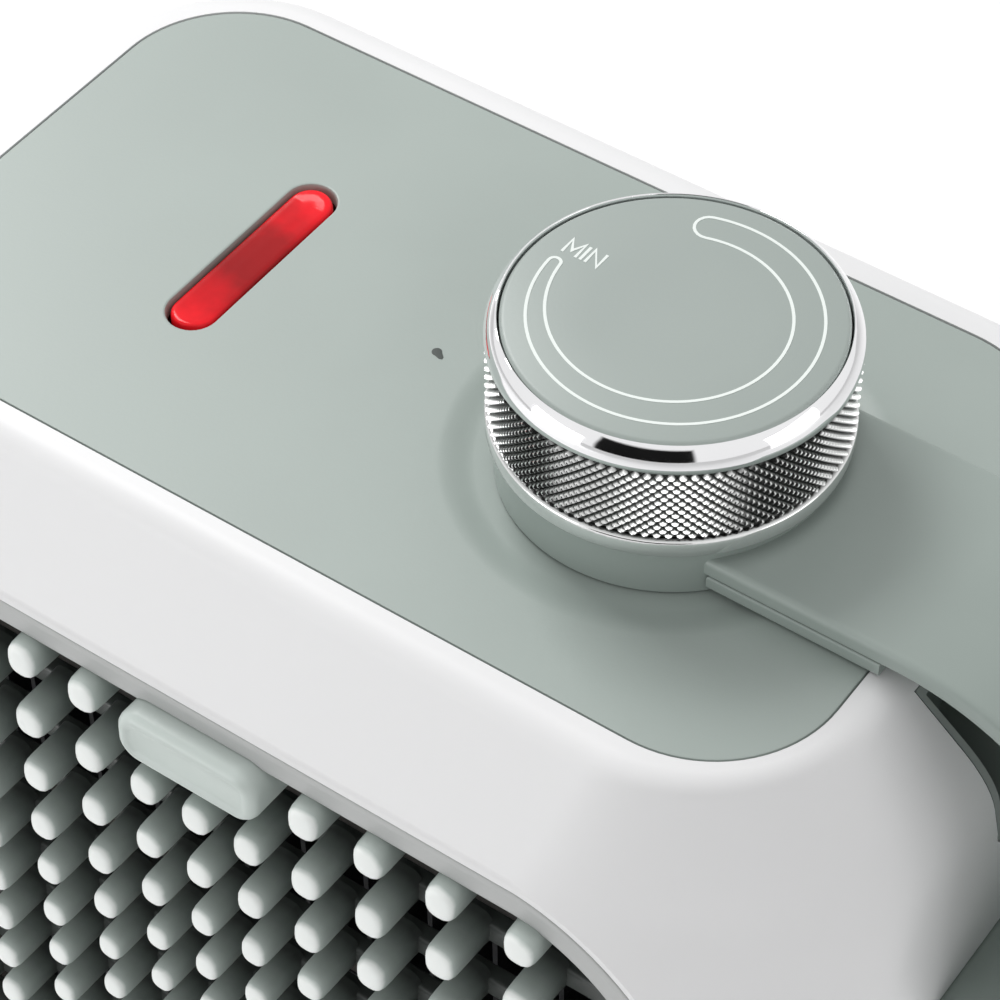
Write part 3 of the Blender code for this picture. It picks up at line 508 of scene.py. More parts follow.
def filleted(points, steps=4):
    """A closed outline of (a, b, radius) corners, each corner rounded."""
    result = []
    for i, (a, b, radius) in enumerate(points):
        corner = Vector((a, b))
        if radius == 0:
            result.append((a, b))
            continue
        start = corner + (Vector(points[i - 1][:2]) - corner).normalized() * radius
        end = corner + (Vector(points[(i + 1) % len(points)][:2]) - corner).normalized() * radius
        for step in range(steps + 1):
            t = step / steps
            result.append(tuple(start * (1 - t) ** 2 + corner * 2 * t * (1 - t) + end * t ** 2))
    return result


def arc(x, y, radius, start, stop, steps):
    """Points on an arc, angles in degrees, both ends included."""
    angles = [math.radians(start + (stop - start) * i / steps) for i in range(steps + 1)]
    return [(x + radius * math.cos(a), y + radius * math.sin(a)) for a in angles]


def rounded(half_width, low, high, low_radius, high_radius, steps=14):
    """A rounded rectangle, anticlockwise, with one radius on its low side and one on its high side."""
    points = arc(half_width - low_radius, low + low_radius, low_radius, -90, 0, steps)
    points += arc(half_width - high_radius, high - high_radius, high_radius, 0, 90, steps)
    points += arc(high_radius - half_width, high - high_radius, high_radius, 90, 180, steps)
    points += arc(low_radius - half_width, low + low_radius, low_radius, 180, 270, steps)
    return points


def pill(half_width, half_length, x=0.0, y=0.0, steps=16):
    """A slot outline with round ends, long in y."""
    reach = half_length - half_width
    points = arc(x, y + reach, half_width, 0, 180, steps)
    return points + arc(x, y - reach, half_width, 180, 360, steps)


def inset(points, distance):
    """A convex outline moved inwards."""
    result = []
    centre = Vector((sum(x for x, _ in points), sum(y for _, y in points))) / len(points)
    for i, (x, y) in enumerate(points):
        along = Vector(points[(i + 1) % len(points)]) - Vector(points[i - 1])
        normal = Vector((along.y, -along.x)).normalized()
        if normal.dot(Vector((x, y)) - centre) < 0:
            normal.negate()
        result.append((x - normal.x * distance, y - normal.y * distance))
    return result


def slab(name, outline, profile, place=IDENTITY):
    """A flat outline lofted through (inset, height) steps, with flat ends."""
    rings = []
    for distance, height in profile:
        rings.append([(x, y, height) for x, y in inset(outline, distance)])
    return skin(name, rings, place)


def prism(name, outline, low, high, place=IDENTITY):
    """A plain extrusion, for cutting."""
    return slab(name, outline, ((0, low), (0, high)), place)


def carve(mesh, *tools, operation="DIFFERENCE"):
    """The mesh after Boolean work with each tool in turn."""
    link = bpy.context.scene.collection.objects.link
    work = bpy.data.objects.new("work", mesh)
    link(work)
    helpers = []
    for tool in tools:
        helper = bpy.data.objects.new("tool", tool)
        link(helper)
        helpers.append(helper)
        modifier = work.modifiers.new("cut", "BOOLEAN")
        modifier.operation = operation
        modifier.object = helper
        modifier.solver = "EXACT"
    bpy.context.view_layer.update()
    result = bpy.data.meshes.new_from_object(work.evaluated_get(bpy.context.evaluated_depsgraph_get()))
    for spare in [work] + helpers:
        bpy.data.objects.remove(spare, do_unlink=True)
    return result


def add_piece(name, mesh, body, slot, replaces=None, material=None, sharp=35, weighted=False):
    """Place a finished mesh as a piece of the object."""
    mesh.name = name
    mesh.materials.clear()
    mesh.materials.append(material or MATERIALS[slot])
    mesh.shade_smooth()
    mesh.set_sharp_from_angle(angle=math.radians(sharp))
    piece = bpy.data.objects.new(name, mesh)
    piece.location = BODY_CENTRE
    bpy.context.scene.collection.objects.link(piece)
    if weighted:
        modifier = piece.modifiers.new("weighted", "WEIGHTED_NORMAL")
        modifier.keep_sharp = True
    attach(piece, body)
    if replaces:
        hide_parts(replaces)
    return piece


# ---------------------------------------------------------------- shell

def straight_reach(depth):
    """How far the sloping band stands out from the panel's edge, at a depth below the shell's top."""
    edge_end = EDGE_RADIUS * (1 - math.sin(SLOPE))
    if depth < edge_end:
        return BORDER + math.sqrt(EDGE_RADIUS ** 2 - (EDGE_RADIUS - depth) ** 2)
    return BORDER + EDGE_RADIUS * math.cos(SLOPE) + (depth - edge_end) * math.tan(SLOPE)


def side_reach(depth):
    """The same on the sides and the back, where a long curve turns the slope upright."""
    curve_low = SIDE_REACH - SIDE_RADIUS * (1 - math.cos(SLOPE))
    if straight_reach(depth) < curve_low:
        return straight_reach(depth)
    edge_end = EDGE_RADIUS * (1 - math.sin(SLOPE))
    start = edge_end + (curve_low - straight_reach(edge_end)) / math.tan(SLOPE)
    rise = start + SIDE_RADIUS * math.sin(SLOPE) - depth
    if rise <= 0:
        return SIDE_REACH
    return SIDE_REACH - SIDE_RADIUS + math.sqrt(SIDE_RADIUS ** 2 - rise ** 2)


def front_plane(z):
    """The raked front plane's y at a height."""
    return FRONT_Y - (OPENING_TOP - z) * math.tan(RAKE)


def shell_section(z):
    """Half width, front, back and the two corner radii of the shell's outline at a height."""
    top_depth, bottom_depth = PANEL_Z - z, z - BASE_Z
    depth = max(min(top_depth, bottom_depth), 0)
    reach = side_reach(depth)
    lower_start = -front_plane(OPENING_BOTTOM) - straight_reach(OPENING_DROP)
    front = -min(-PANEL_FRONT + straight_reach(top_depth),
                 lower_start + straight_reach(bottom_depth),
                 -front_plane(z) + FRONT_BULGE)
    corner = PANEL_RADIUS + CORNER_GROWTH * min(straight_reach(depth), straight_reach(OPENING_DROP))
    return PANEL_HALF_WIDTH + reach, front, PANEL_BACK + reach, corner, PANEL_RADIUS + reach


def shell_rings(heights, thickness):
    """Outlines of the shell at each height, moved inwards by a thickness."""
    rings = []
    for z in heights:
        half_width, front, back, front_corner, back_corner = shell_section(z)
        outline = rounded(half_width - thickness, front + thickness, back - thickness,
                          front_corner - thickness, back_corner - thickness)
        rings.append([(x, y, z) for x, y in outline])
    return rings


def opening_half_width(z):
    """Half the width of the cut that the front plane makes, at a height."""
    half_width, front, _, corner, _ = shell_section(z)
    ahead = max(front_plane(z) - front, 0)
    return half_width - corner + math.sqrt(corner ** 2 - (corner - ahead) ** 2)


def opening_outline(steps=20):
    """The cut's outline in the front plane: x, and the height along the plane below its top."""
    bend = 0.036
    drops = [bend * (i / steps) ** 2 for i in range(steps + 1)]
    heights = [OPENING_TOP - drop for drop in drops]
    heights += [OPENING_BOTTOM + drop * 0.72 for drop in reversed(drops)]
    right = [(opening_half_width(z), (z - OPENING_TOP) / math.cos(RAKE)) for z in heights]
    left = [(-x, height) for x, height in reversed(right)]
    return right + left


def panel_outline(reach=0.0, steps=20):
    return rounded(PANEL_HALF_WIDTH + reach, PANEL_FRONT - reach, PANEL_BACK + reach,
                   PANEL_RADIUS + reach, PANEL_RADIUS + reach, steps)


def base_outline(reach=0.0):
    corner = 0.018 + reach
    return rounded(BASE_HALF_WIDTH + reach, BASE_FRONT - reach, BASE_BACK + reach, corner, corner)


def scoop_outline(reach=0.0, steps=20):
    """The tongue-shaped scoop under the handle, as y and z, narrow end down."""
    middle = (STRAP_FRONT + STRAP_BACK) / 2
    top, low = PANEL_Z - 0.0022, PANEL_Z - 0.038
    top_half, low_half = 0.0161 + reach, 0.0052 + reach
    points = [(middle + top_half, top + reach), (middle - top_half, top + reach)]
    return points + arc(middle, low, low_half, 180, 360, steps)


def hole(x, y, z, radius, place_turn=IDENTITY, depth=0.03):
    """A round cutter along its own z axis."""
    place = Matrix.Translation((x, y, z)) @ place_turn
    return turned("hole", ((radius, -depth / 2), (radius, depth / 2)), place, 32)


def shell_depths(finest):
    """Depths below the shell's top: close together round the edge, wider apart down the side."""
    edge = [EDGE_RADIUS * (1 - math.cos(math.radians(a))) for a in range(0, 61, 6)]
    side = [edge[-1] + (0.056 - edge[-1]) * i / finest for i in range(1, finest + 1)]
    return edge + side


def make_shell():
    depths = shell_depths(22)
    heights = [BASE_Z + d for d in depths] + [PANEL_Z - d for d in reversed(depths)]
    shell = skin("shell", shell_rings(heights, 0))
    inner = [d for d in depths if d > LEDGE_DROP]
    inner_heights = [BASE_Z + LEDGE_DROP] + [BASE_Z + d for d in inner]
    inner_heights += [PANEL_Z - d for d in reversed(inner)] + [PANEL_Z - LEDGE_DROP]
    wide = rounded(0.15, -0.30, 0.10, 0.01, 0.01, 2)
    rear = rounded(COVER_HALF_WIDTH - 0.010, COVER_LOW + 0.012, COVER_HIGH - 0.012, 0.012, 0.012)
    turn_y = Matrix.Rotation(-math.pi / 2, 4, "X")
    tools = [
        skin("hollow", shell_rings(inner_heights, WALL)),
        prism("front_cut", wide, 0, 0.06, FRONT_PLACE),
        prism("rim_seat", inset(opening_outline(), RIM_INSET - GAP), -0.0205, 0.01, FRONT_PLACE),
        prism("panel_seat", panel_outline(GAP), PANEL_Z - PANEL_THICK - GAP, PANEL_Z + 0.01),
        prism("panel_opening", panel_outline(-0.004), PANEL_Z - 0.02, PANEL_Z + 0.01),
        prism("base_seat", base_outline(GAP), BASE_Z - 0.01, BASE_Z + 0.0025),
        prism("base_opening", base_outline(-0.008), BASE_Z - 0.01, BASE_Z + 0.012),
        prism("rear_opening", rear, 0.045, 0.09, FACING_BACK),
        prism("scoop_seat", scoop_outline(), 0.080, 0.110, FACING_SIDE),
        strap_slot(),
        hole(0.060, COVER_Y, 0.036, 0.0057, turn_y),
    ]
    tools += [hole(x, COVER_Y, z, 0.0017, turn_y) for x, z in COVER_SCREWS]
    tools += [hole(x, y, BASE_Z, 0.0017) for x, y in BASE_SCREWS]
    add_piece("shell_moulding", carve(shell, *tools), "body", "shell_white", "shell", sharp=28, weighted=True)


# ---------------------------------------------------------------- handle

def strap_path(steps):
    """Points of the strap's middle line with their outward normals, in x and z."""
    middle_z = PANEL_Z + STRAP_TOP - STRAP_THICK / 2
    path = [(Vector((DIAL_X + (STRAP_BEND_X - DIAL_X) * i / 6, middle_z)), Vector((0, 1))) for i in range(6)]
    centre = Vector((STRAP_BEND_X, middle_z - STRAP_RADIUS))
    for i in range(steps + 1):
        a = STRAP_SWEEP * i / steps
        normal = Vector((math.sin(a), math.cos(a)))
        path.append((centre + normal * STRAP_RADIUS, normal))
    last, normal = path[-1]
    onward = Vector((math.cos(STRAP_SWEEP), -math.sin(STRAP_SWEEP)))
    path.append((last + onward * (STRAP_END_X - last.x) / onward.x, normal))
    return path


def strap_layer(name, inner, outer, inner_radius, outer_radius, margin=0.0, steps=48):
    """A layer of the strap between two distances from its middle line, with rounded edges."""
    near, far = STRAP_FRONT - margin, STRAP_BACK + margin
    section = filleted(((near, inner, inner_radius), (far, inner, inner_radius),
                        (far, outer, outer_radius), (near, outer, outer_radius)), 6)
    rings = []
    for point, normal in strap_path(steps):
        rings.append([(point.x + normal.x * n, y, point.y + normal.y * n) for y, n in section])
    return skin(name, rings)


def strap_slot():
    """The slot in the shell's side that the strap's free end goes through."""
    half = STRAP_THICK / 2
    slot = strap_layer("slot", -half + STRAP_SEAM, half + GAP, 0, 0, GAP)
    reach = prism("slot_reach", rounded(0.008, -0.05, 0.05, 0.001, 0.001, 2), 0.12, 0.185,
                  Matrix.Translation((0.096, 0, 0)))
    return carve(slot, reach, operation="INTERSECT")


def make_handle():
    half = STRAP_THICK / 2
    seam = -half + STRAP_SEAM
    profile = filleted(((COLLAR_BORE, COLLAR_TOP, 0), (COLLAR_RADIUS, COLLAR_TOP, 0.0009),
                        (COLLAR_RADIUS, COLLAR_FOOT, 0.0002), (COLLAR_BORE, COLLAR_FOOT, 0)))
    collar = turned("collar", profile, loop=True)
    bore = turned("bore", ((COLLAR_BORE - 0.00001, -0.01), (COLLAR_BORE - 0.00001, 0.02)))
    cover = strap_layer("cover", seam + GAP, half, 0.0003, 0.0013)
    cover = carve(carve(cover, bore), collar, operation="UNION")
    add_piece("handle_upper", cover, "body", "strap_green", "handle_cover", sharp=40, weighted=True)

    clear = turned("clear", ((COLLAR_RADIUS + GAP, -0.01), (COLLAR_RADIUS + GAP, 0.02)))
    beyond = prism("beyond", rounded(0.05, -0.05, 0.05, 0.001, 0.001, 2), 0.10, PANEL_Z + 0.02,
                   Matrix.Translation((TONGUE_END_X + 0.05, 0, 0)))
    core = carve(strap_layer("core", -half, seam, 0.0006, 0.0005), clear, beyond)
    add_piece("handle_lower", core, "body", "strap_green", "handle_core", sharp=40, weighted=True)

    heights = [PANEL_Z - d for d in reversed(shell_depths(22)) if d <= 0.045]
    skin_tool = skin("liner_skin", shell_rings(heights, 0.0001))
    block = prism("liner", scoop_outline(-GAP), 0.0812, 0.110, FACING_SIDE)
    liner = carve(block, skin_tool, operation="INTERSECT")
    liner = carve(liner, prism("liner_hollow", scoop_outline(-0.0018), 0.0835, 0.120, FACING_SIDE))
    add_piece("scoop_liner", liner, "body", "liner_green", "handle_liner", sharp=30, weighted=True)


# ---------------------------------------------------------------- front grille

def row_height(row):
    """A row's height along the front plane, counted from the middle of the grille."""
    return 0.01049 * row + 0.0000267 * row ** 3


def column_x(column):
    return 0.0093 * column + 0.00046 * column * abs(column)


def pin_scale(row, column):
    """Pins are smaller in the middle of the grille than at its edges."""
    return 0.76 + 0.32 * min(1.0, math.hypot(row / ROW_REACH, column / COLUMN_REACH))


def outline_half_width(outline, height):
    """Half the width of a symmetric outline at a height, or zero beyond its ends."""
    widest = 0.0
    for (x0, y0), (x1, y1) in zip(outline, outline[1:] + outline[:1]):
        if min(y0, y1) <= height <= max(y0, y1) and y0 != y1:
            widest = max(widest, abs(x0 + (x1 - x0) * (height - y0) / (y1 - y0)))
    return widest


def row_half_width(height, half_height, inner, outer):
    """Half a row's width: it ends inside the rim, and its corners stay within the rim's outer edge."""
    edges = [outline_half_width(outer, level) - GAP for level in (height - half_height, height + half_height)]
    return min(edges + [outline_half_width(inner, height) + RIM_OVERLAP])


def oval(half_width, half_height, power, steps=20):
    """A superellipse."""
    points = []
    for i in range(steps):
        a = 2 * math.pi * i / steps
        c, s = math.cos(a), math.sin(a)
        points.append((half_width * math.copysign(abs(c) ** (2 / power), c),
                       half_height * math.copysign(abs(s) ** (2 / power), s)))
    return points


def pin_rings(x, height, half_width, half_height, tip):
    """A pin from its web to its rounded tip."""
    back = WEB_FRONT - 0.001
    steps = ((back, 1.06), (back + 0.0018, 1.01), (tip - 0.0030, 1.0), (tip - 0.0014, 0.975),
             (tip - 0.0006, 0.90), (tip - 0.0002, 0.78), (tip, 0.58), (tip + 0.0001, 0.25))
    rings = []
    for depth, scale in steps:
        outline = oval(half_width * scale, half_height * scale, 2.7)
        rings.append([(x + px, height + py, depth) for px, py in outline])
    return rings


def add_rings(bm, rings):
    """One closed body through rings, in a mesh that holds several."""
    levels = [[bm.verts.new(point) for point in ring] for ring in rings]
    for lower, upper in zip(levels, levels[1:]):
        join_rings(bm, lower, upper)
    bm.faces.new(levels[0])
    bm.faces.new(levels[-1])


def web_rings(height, half_height, half_width):
    """One shelf behind a row of pins, across the grille."""
    section = filleted(((WEB_BACK, -half_height, 0.0004), (WEB_FRONT, -half_height, 0.0008),
                        (WEB_FRONT, half_height, 0.0008), (WEB_BACK, half_height, 0.0004)), 3)
    return [[(x, height + h, depth) for depth, h in section] for x in (-half_width, half_width)]


def make_grille():
    opening = opening_outline()
    rim = []
    inner_edge = RIM_INSET + RIM_WIDTH
    for distance, depth in filleted(((RIM_INSET, -GRILLE_DEPTH, 0), (RIM_INSET, 0, 0.0005),
                                     (RIM_INSET + 0.0016, 0, 0.0002), (RIM_INSET + 0.0017, -0.0003, 0.0002),
                                     (inner_edge, -0.0003, 0.0010), (inner_edge, -GRILLE_DEPTH, 0)), 3):
        rim.append([(x, y, depth) for x, y in inset(opening, distance)])
    middle = (OPENING_BOTTOM - OPENING_TOP) / math.cos(RAKE) / 2
    top_row = middle + row_height(ROW_REACH)
    badge = [(x, y + top_row) for x, y in rounded(0.0129, -0.0059, 0.0041, 0.004, 0.004)]
    seat = prism("badge_seat", inset(badge, -GAP), -0.0065, 0.01, FRONT_PLACE)
    rim_mesh = carve(skin("rim", rim, FRONT_PLACE, loop=True), seat)
    add_piece("grille_rim", rim_mesh, "body", "grille_green", "front_grille", material=RIM_GREY)

    pins, webs = bmesh.new(), bmesh.new()
    inner, outer = inset(opening, inner_edge), inset(opening, RIM_INSET)
    for row in range(-ROW_REACH, ROW_REACH + 1):
        height = middle + row_height(row)
        half_height = PIN_HEIGHT * pin_scale(row, 3) / 2
        half_width = row_half_width(height, half_height, inner, outer)
        add_rings(webs, web_rings(height, half_height * 0.60, half_width))
        for column in range(-COLUMN_REACH, COLUMN_REACH + 1):
            scale = pin_scale(row, column)
            x = column_x(column)
            behind_badge = row == ROW_REACH and abs(column) <= 1
            if abs(x) + PIN_WIDTH * scale / 4 > half_width - RIM_OVERLAP or behind_badge:
                continue
            add_rings(pins, pin_rings(x, height, PIN_WIDTH * scale / 2, PIN_HEIGHT * scale / 2, PIN_PROUD))
    web_mesh = finish_mesh(webs, "webs", FRONT_PLACE)
    pin_mesh = finish_mesh(pins, "pins", FRONT_PLACE)
    add_piece("grille_webs", web_mesh, "body", "grille_green", "front_grille")
    add_piece("grille_pins", pin_mesh, "body", "grille_green", "front_grille", sharp=60)

    front = BADGE_FRONT
    steps = ((0, -0.0062), (0, front - 0.0016), (0.0002, front - 0.0009), (0.0007, front - 0.0003),
             (0.0013, front), (0.0018, front), (0.0023, front - 0.0003), (0.0027, front - 0.0005))
    badge_mesh = slab("badge", badge, steps, FRONT_PLACE)
    add_piece("badge", badge_mesh, "body", "badge_green", "grille_badge", sharp=50)


# ---------------------------------------------------------------- top panel, dial and rocker

def teardrop(x, y, radius, tail, heading, steps=24):
    """A round mark with a tail that thins out towards a heading in degrees."""
    points = []
    for i in range(steps):
        a = 2 * math.pi * i / steps
        reach = radius + tail * max(0.0, math.cos(a)) ** 10
        turn = a + math.radians(heading)
        points.append((x + reach * math.cos(turn), y + reach * math.sin(turn)))
    return points


def make_panel():
    edge = ((0, PANEL_Z - PANEL_THICK), (0, PANEL_Z - 0.0004), (0.0001, PANEL_Z - 0.0001), (0.0004, PANEL_Z))
    panel = slab("panel", panel_outline(), edge)
    outer, inner, depth = 0.0335, 0.0280, 0.0008
    curve = []
    for i in range(13):
        share = i / 12
        curve.append((outer + (inner - outer) * share, -depth * (1 - math.cos(math.pi * share)) / 2))
    dish = [(outer, 0.002)] + curve + [(0.012, -depth), (0.012, 0.002)]
    slot_rings = []
    for grow, z in ((0, -0.01), (0, -0.0006), (0.0002, -0.00015), (0.0006, 0.00005), (0.0006, 0.01)):
        outline = pill(SLOT_WIDTH + grow, SLOT_LENGTH + grow, ROCKER_X, ROCKER_Y)
        slot_rings.append([(x, y, PANEL_Z + z) for x, y in outline])
    tools = (turned("dish", dish, loop=True), skin("slot", slot_rings), hole(DIAL_X, 0, PANEL_Z, 0.0052))
    add_piece("panel", carve(panel, *tools), "body", "panel_green", "top_panel", sharp=30, weighted=True)
    # Painted shade: a dark flat teardrop stands in for the shade inside the index dimple.
    dot = slab("dot", teardrop(DIAL_X - 0.0400, -0.0017, 0.0008, 0.0010, -28),
               ((0, PANEL_Z - 0.00005), (0, PANEL_Z + 0.00003), (0.0002, PANEL_Z + 0.00006)))
    add_piece("index_dot", dot, "body", "panel_green", material=INDEX_SHADE)


def knurled_sleeve():
    """The dial's sleeve: a plain rim, then rows of diamond pyramids on alternate lattice points."""
    around, rows = 100, 8
    low, high, depth = 0.0114, 0.0244, KNURL_DEPTH
    step = (high - low) / (2 * rows)
    valley = DIAL_RADIUS - depth
    bm = bmesh.new()
    nodes = {}

    def vertex(i, j, height):
        a = math.pi * i / around
        radius = valley + depth * height
        return bm.verts.new((radius * math.cos(a), radius * math.sin(a), low + step * j))

    def node(i, j):
        key = (i % (2 * around), j)
        if key not in nodes:
            nodes[key] = vertex(*key, 0)
        return nodes[key]

    for j in range(2 * rows + 1):
        for i in range((j + 1) % 2, 2 * around, 2):
            if j in (0, 2 * rows):
                bm.faces.new((node(i - 1, j), node(i + 1, j), node(i, j + (1 if j == 0 else -1))))
                continue
            ways = ((1, 0), (0, 1), (-1, 0), (0, -1))
            corners = [node(i + di, j + dj) for di, dj in ways]
            shoulder = [vertex(i + di * 0.42, j + dj * 0.42, 0.80) for di, dj in ways]
            top = vertex(i, j, 1.0)
            for k in range(4):
                n = (k + 1) % 4
                bm.faces.new((corners[k], corners[n], shoulder[n], shoulder[k]))
                bm.faces.new((shoulder[k], shoulder[n], top))
    bottom = [node(i, 0) for i in range(0, 2 * around, 2)]
    upper = [node(i, 2 * rows) for i in range(0, 2 * around, 2)]
    foot = COLLAR_TOP + GAP
    profile = ((DIAL_RADIUS - 0.0005, 0.0113), (DIAL_RADIUS - 0.0001, 0.0111), (DIAL_RADIUS, 0.0109),
               (DIAL_RADIUS, foot + 0.0003), (DIAL_RADIUS - 0.0001, foot + 0.0001),
               (DIAL_RADIUS - 0.0004, foot), (0.0232, foot), (0.0232, 0.0244))
    last = bottom
    for radius, z in profile:
        ring = [bm.verts.new(point) for point in circle(radius, z, around)]
        join_rings(bm, last, ring)
        last = ring
    join_rings(bm, last, upper)
    return finish_mesh(bm, "sleeve", DIAL_PLACE)


def stroke(bm, points, half_width, low, high, closed=False):
    """A flat line of even width along points, as a thin closed body."""
    count = len(points)
    left, right = [], []
    for i, point in enumerate(points):
        here = Vector(point)
        before = Vector(points[i - 1]) if closed or i > 0 else None
        after = Vector(points[(i + 1) % count]) if closed or i < count - 1 else None
        into = (here - before).normalized() if before is not None else (after - here).normalized()
        out = (after - here).normalized() if after is not None else into
        side = Vector((-into.y - out.y, into.x + out.x)).normalized()
        mitre = half_width / max(0.5, side.dot(Vector((-into.y, into.x))))
        left.append(here + side * mitre)
        right.append(here - side * mitre)
    sections = []
    for a, b in zip(left, right):
        corners = ((a.x, a.y, low), (b.x, b.y, low), (b.x, b.y, high), (a.x, a.y, high))
        sections.append([bm.verts.new(corner) for corner in corners])
    for lower, upper in zip(sections, sections[1:]):
        join_rings(bm, lower, upper)
    if closed:
        join_rings(bm, sections[-1], sections[0])
    else:
        bm.faces.new(sections[0])
        bm.faces.new(sections[-1])


def crescent():
    """A band that widens as it sweeps round the disc, with round ends."""
    start, sweep, steps = 182, 286, 96
    outer, inner = [], []
    for i in range(steps + 1):
        share = i / steps
        a = math.radians(start + sweep * share)
        growth = 1 - (1 - min(1, share / 0.6)) ** 2
        radius, width = DIAL_RADIUS * 0.78, DIAL_RADIUS * (0.070 + 0.095 * growth)
        outer.append((radius * math.cos(a), radius * math.sin(a)))
        inner.append(((radius - width) * math.cos(a), (radius - width) * math.sin(a)))
    path = list(outer)
    for first, second, turn in ((outer[-1], inner[-1], 1), (inner[0], outer[0], 1)):
        a, b = Vector(first), Vector(second)
        middle, arm = (a + b) / 2, (a - b) / 2
        cap = []
        for i in range(1, 10):
            angle = turn * math.pi * i / 10
            cap.append(tuple(middle + Matrix.Rotation(angle, 2) @ arm))
        path += cap
        if first == outer[-1]:
            path += inner[::-1]
    return path


def legend():
    """The scale's outline and its first word, as thin raised print."""
    bm = bmesh.new()
    low, high, half_width = 0.02855, 0.02866, 0.00023
    stroke(bm, crescent(), half_width, low, high, closed=True)
    cap = DIAL_RADIUS * 0.112
    letters = ((0.0, 0.75, ((0, 0), (0, 1), (0.5, 0.30), (1, 1), (1, 0))),
               (1.02, 0.0, ((0, 0), (0, 1))),
               (1.30, 0.66, ((0, 0), (0, 1), (1, 0), (1, 1))))
    left, base = -DIAL_RADIUS * 0.76, DIAL_RADIUS * 0.064
    for shift, width, points in letters:
        path = [(left + (shift + x * width) * cap, base + y * cap) for x, y in points]
        stroke(bm, path, half_width, low, high)
    return finish_mesh(bm, "legend", DIAL_PLACE)


def make_dial():
    add_piece("sleeve", knurled_sleeve(), "dial", "dial_chrome", "dial_sleeve", sharp=38)
    outer = DIAL_RADIUS
    bezel = [(0.0247, 0.0287), (0.0249, 0.0287)]
    for i in range(13):
        share = i / 12
        bulge = 0.00012 * math.sin(math.pi * share)
        bezel.append((0.0250 + 0.0013 * share + bulge, 0.0286 - 0.0021 * share + bulge * 0.6))
    bezel += [(outer - 0.0001, 0.0262), (outer, 0.0258), (outer, 0.0249), (outer - 0.0002, 0.0247),
              (0.0232, 0.0247), (0.0232, 0.0255), (0.0246, 0.0262), (0.0246, 0.0285)]
    bezel_mesh = turned("bezel", bezel, loop=True, segments=160)
    add_piece("bezel", bezel_mesh, "dial", "bezel_chrome", "dial_bezel", sharp=45)
    disc = ((0, 0.0286), (0.0120, 0.0286), (0.0236, 0.0286), (0.0240, 0.0285), (0.0243, 0.0282),
            (0.0243, 0.0266),
            (0.0229, 0.0258), (0, 0.0258))
    add_piece("disc", turned("disc", disc, segments=160), "dial", "disc_green", "dial_disc", sharp=40)
    add_piece("dial_legend", legend(), "dial", "disc_green", material=LEGEND)


def make_rocker():
    """A pill whose top is hollowed along its length."""
    pivot_z = PANEL_Z - 0.005
    bow, sunk = 0.160, 0.0011
    steps = ((0, -0.0040, False), (0, -0.0008, True), (0.0001, -0.0004, True), (0.0003, -0.0001, True),
             (0.0006, 0, True), (0.0014, 0, True), (0.0024, 0, True), (0.0032, 0, True))
    rings = []
    for distance, z, follows in steps:
        ring = []
        for x, y in pill(ROCKER_HALF_WIDTH - distance, ROCKER_HALF_LENGTH - distance, steps=20):
            rise = bow - math.sqrt(bow ** 2 - y ** 2)
            height = PANEL_Z - sunk + rise + z if follows else pivot_z + z
            ring.append((x + ROCKER_X, y + ROCKER_Y, height))
        rings.append(ring)
    rocker = skin("rocker", rings)
    bore = hole(ROCKER_X, ROCKER_Y, pivot_z, 0.0013, Matrix.Rotation(math.pi / 2, 4, "Y"))
    add_piece("rocker_lens", carve(rocker, bore), "rocker", "rocker_red", "rocker", sharp=45)


# ---------------------------------------------------------------- rear, base and fasteners

def screw_mesh(name, place):
    """A pan-head screw with a cross recess, its shank along +z from the underside of the head."""
    dome = [(0.0028 * math.cos(a), -0.0006 - 0.0009 * math.sin(a)) for a in
            (math.radians(90 * i / 8) for i in range(8))]
    profile = [(0, 0.0055), (0.0014, 0.0055), (0.0014, 0.0002), (0.0016, 0), (0.0027, 0), (0.0028, -0.0001)]
    head = turned(name, profile + dome + [(0, -0.0015)], IDENTITY, 48)
    arm, half = 0.0015, 0.00026
    cross = ((half, half), (half, arm), (-half, arm), (-half, half), (-arm, half), (-arm, -half),
             (-half, -half), (-half, -arm), (half, -arm), (half, -half), (arm, -half), (arm, half))
    rings = [[(x * s, y * s, z) for x, y in cross] for s, z in ((1, -0.002), (0.9, -0.0011), (0.35, -0.0004))]
    mesh = carve(head, skin("cross", rings))
    mesh.transform(place)
    return mesh


def make_screws():
    for number, (x, z) in enumerate(COVER_SCREWS, 1):
        place = Matrix.Translation((x, COVER_Y + 0.0032, z)) @ Matrix.Rotation(math.pi / 2, 4, "X")
        add_piece(f"rear_screw_head_{number}", screw_mesh("screw", place), "body", "screw_steel",
                  f"rear_screw_{number}")
    for number, (x, y) in enumerate(BASE_SCREWS, 1):
        place = Matrix.Translation((x, y, BASE_Z - GAP))
        add_piece(f"base_screw_head_{number}", screw_mesh("screw", place), "body", "screw_steel",
                  f"base_screw_{number}")


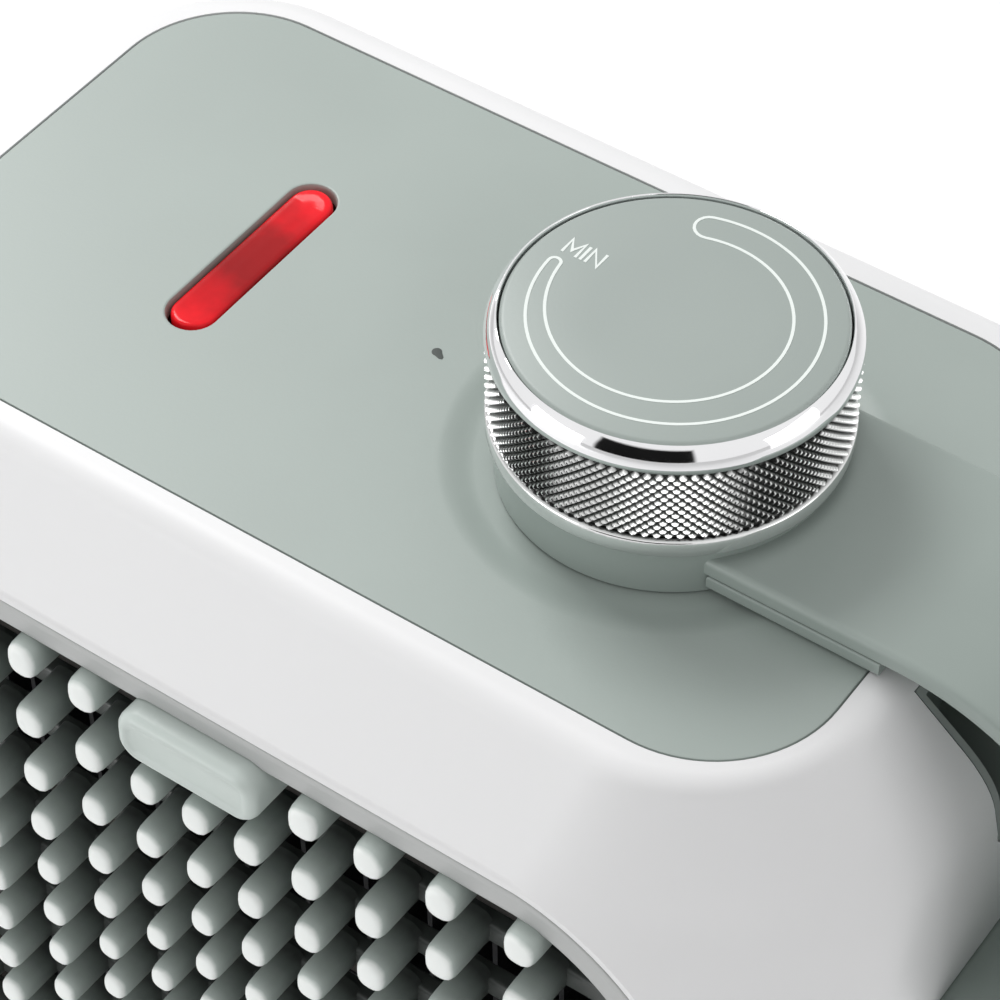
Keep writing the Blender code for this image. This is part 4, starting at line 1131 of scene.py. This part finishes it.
def make_rear():
    outline = rounded(COVER_HALF_WIDTH, COVER_LOW, COVER_HIGH, 0.016, 0.016)
    near, far = COVER_Y + GAP, COVER_Y + 0.0029
    edge = ((0, near), (0, far - 0.0009), (0.0003, far - 0.0003), (0.0009, far))
    cover = slab("cover", outline, edge, FACING_BACK)
    tools = []
    for side in (-1, 1):
        for row in range(11):
            z = FAN_Z + 0.005 + (row - 5) * 0.0108
            louvre = rounded(0.0265, z - 0.0024, z + 0.0024, 0.0021, 0.0021, 6)
            slot = [(side * 0.0310 + x, y) for x, y in louvre]
            rings = []
            for grow, y in ((0, near - 0.002), (0, far - 0.0008), (-0.0003, far - 0.0001),
                            (-0.0006, far + 0.002)):
                rings.append([(px, py, y) for px, py in inset(slot, grow)])
            tools.append(skin("slot", rings, FACING_BACK))
    turn_y = Matrix.Rotation(-math.pi / 2, 4, "X")
    tools += [hole(x, COVER_Y, z, 0.0017, turn_y) for x, z in COVER_SCREWS]
    add_piece("rear_louvres", carve(cover, *tools), "body", "shell_white", "rear_cover", sharp=30,
              weighted=True)


def make_feet():
    for number, (x, y) in enumerate(FEET, 1):
        rings = [(0, BASE_Z - GAP), (FOOT_RADIUS - 0.0003, BASE_Z - GAP), (FOOT_RADIUS, BASE_Z - 0.0006),
                 (FOOT_RADIUS, 0.0012), (FOOT_RADIUS - 0.0002, 0.0004), (FOOT_RADIUS - 0.0008, 0),
                 (0.0062, 0), (0.0060, 0.0005), (0.0050, 0.0005), (0.0048, 0), (0.0036, 0), (0.0034, 0.0005),
                 (0.0024, 0.0005), (0.0022, 0), (0, 0)]
        place = Matrix.Translation((x, y, 0))
        foot = turned("foot", rings, place, 64)
        add_piece(f"rubber_foot_{number}", foot, "body", "foot_rubber", f"foot_{number}")


def paint_cad_nodes():
    """Every CAD node takes its slot's material, whether it stays in view or not."""
    for entry in frame["record"]["subparts"]:
        mesh = frame["nodes"][entry["node"]].data
        mesh.materials.clear()
        mesh.materials.append(MATERIALS[entry["material_slot"]])


bpy.context.scene.view_settings.view_transform = "Standard"
add_camera()
add_world()
add_floor()
add_light("key", -112, 48, 1.4, 0.6, 11)
add_light("front_fill", -30, 6, 1.8, 1.0, 10)
add_light("side_fill", 100, 10, 1.8, 1.0, 4)
paint_cad_nodes()
make_shell()
make_handle()
make_grille()
make_panel()
make_dial()
make_rocker()
make_screws()
make_rear()
make_feet()
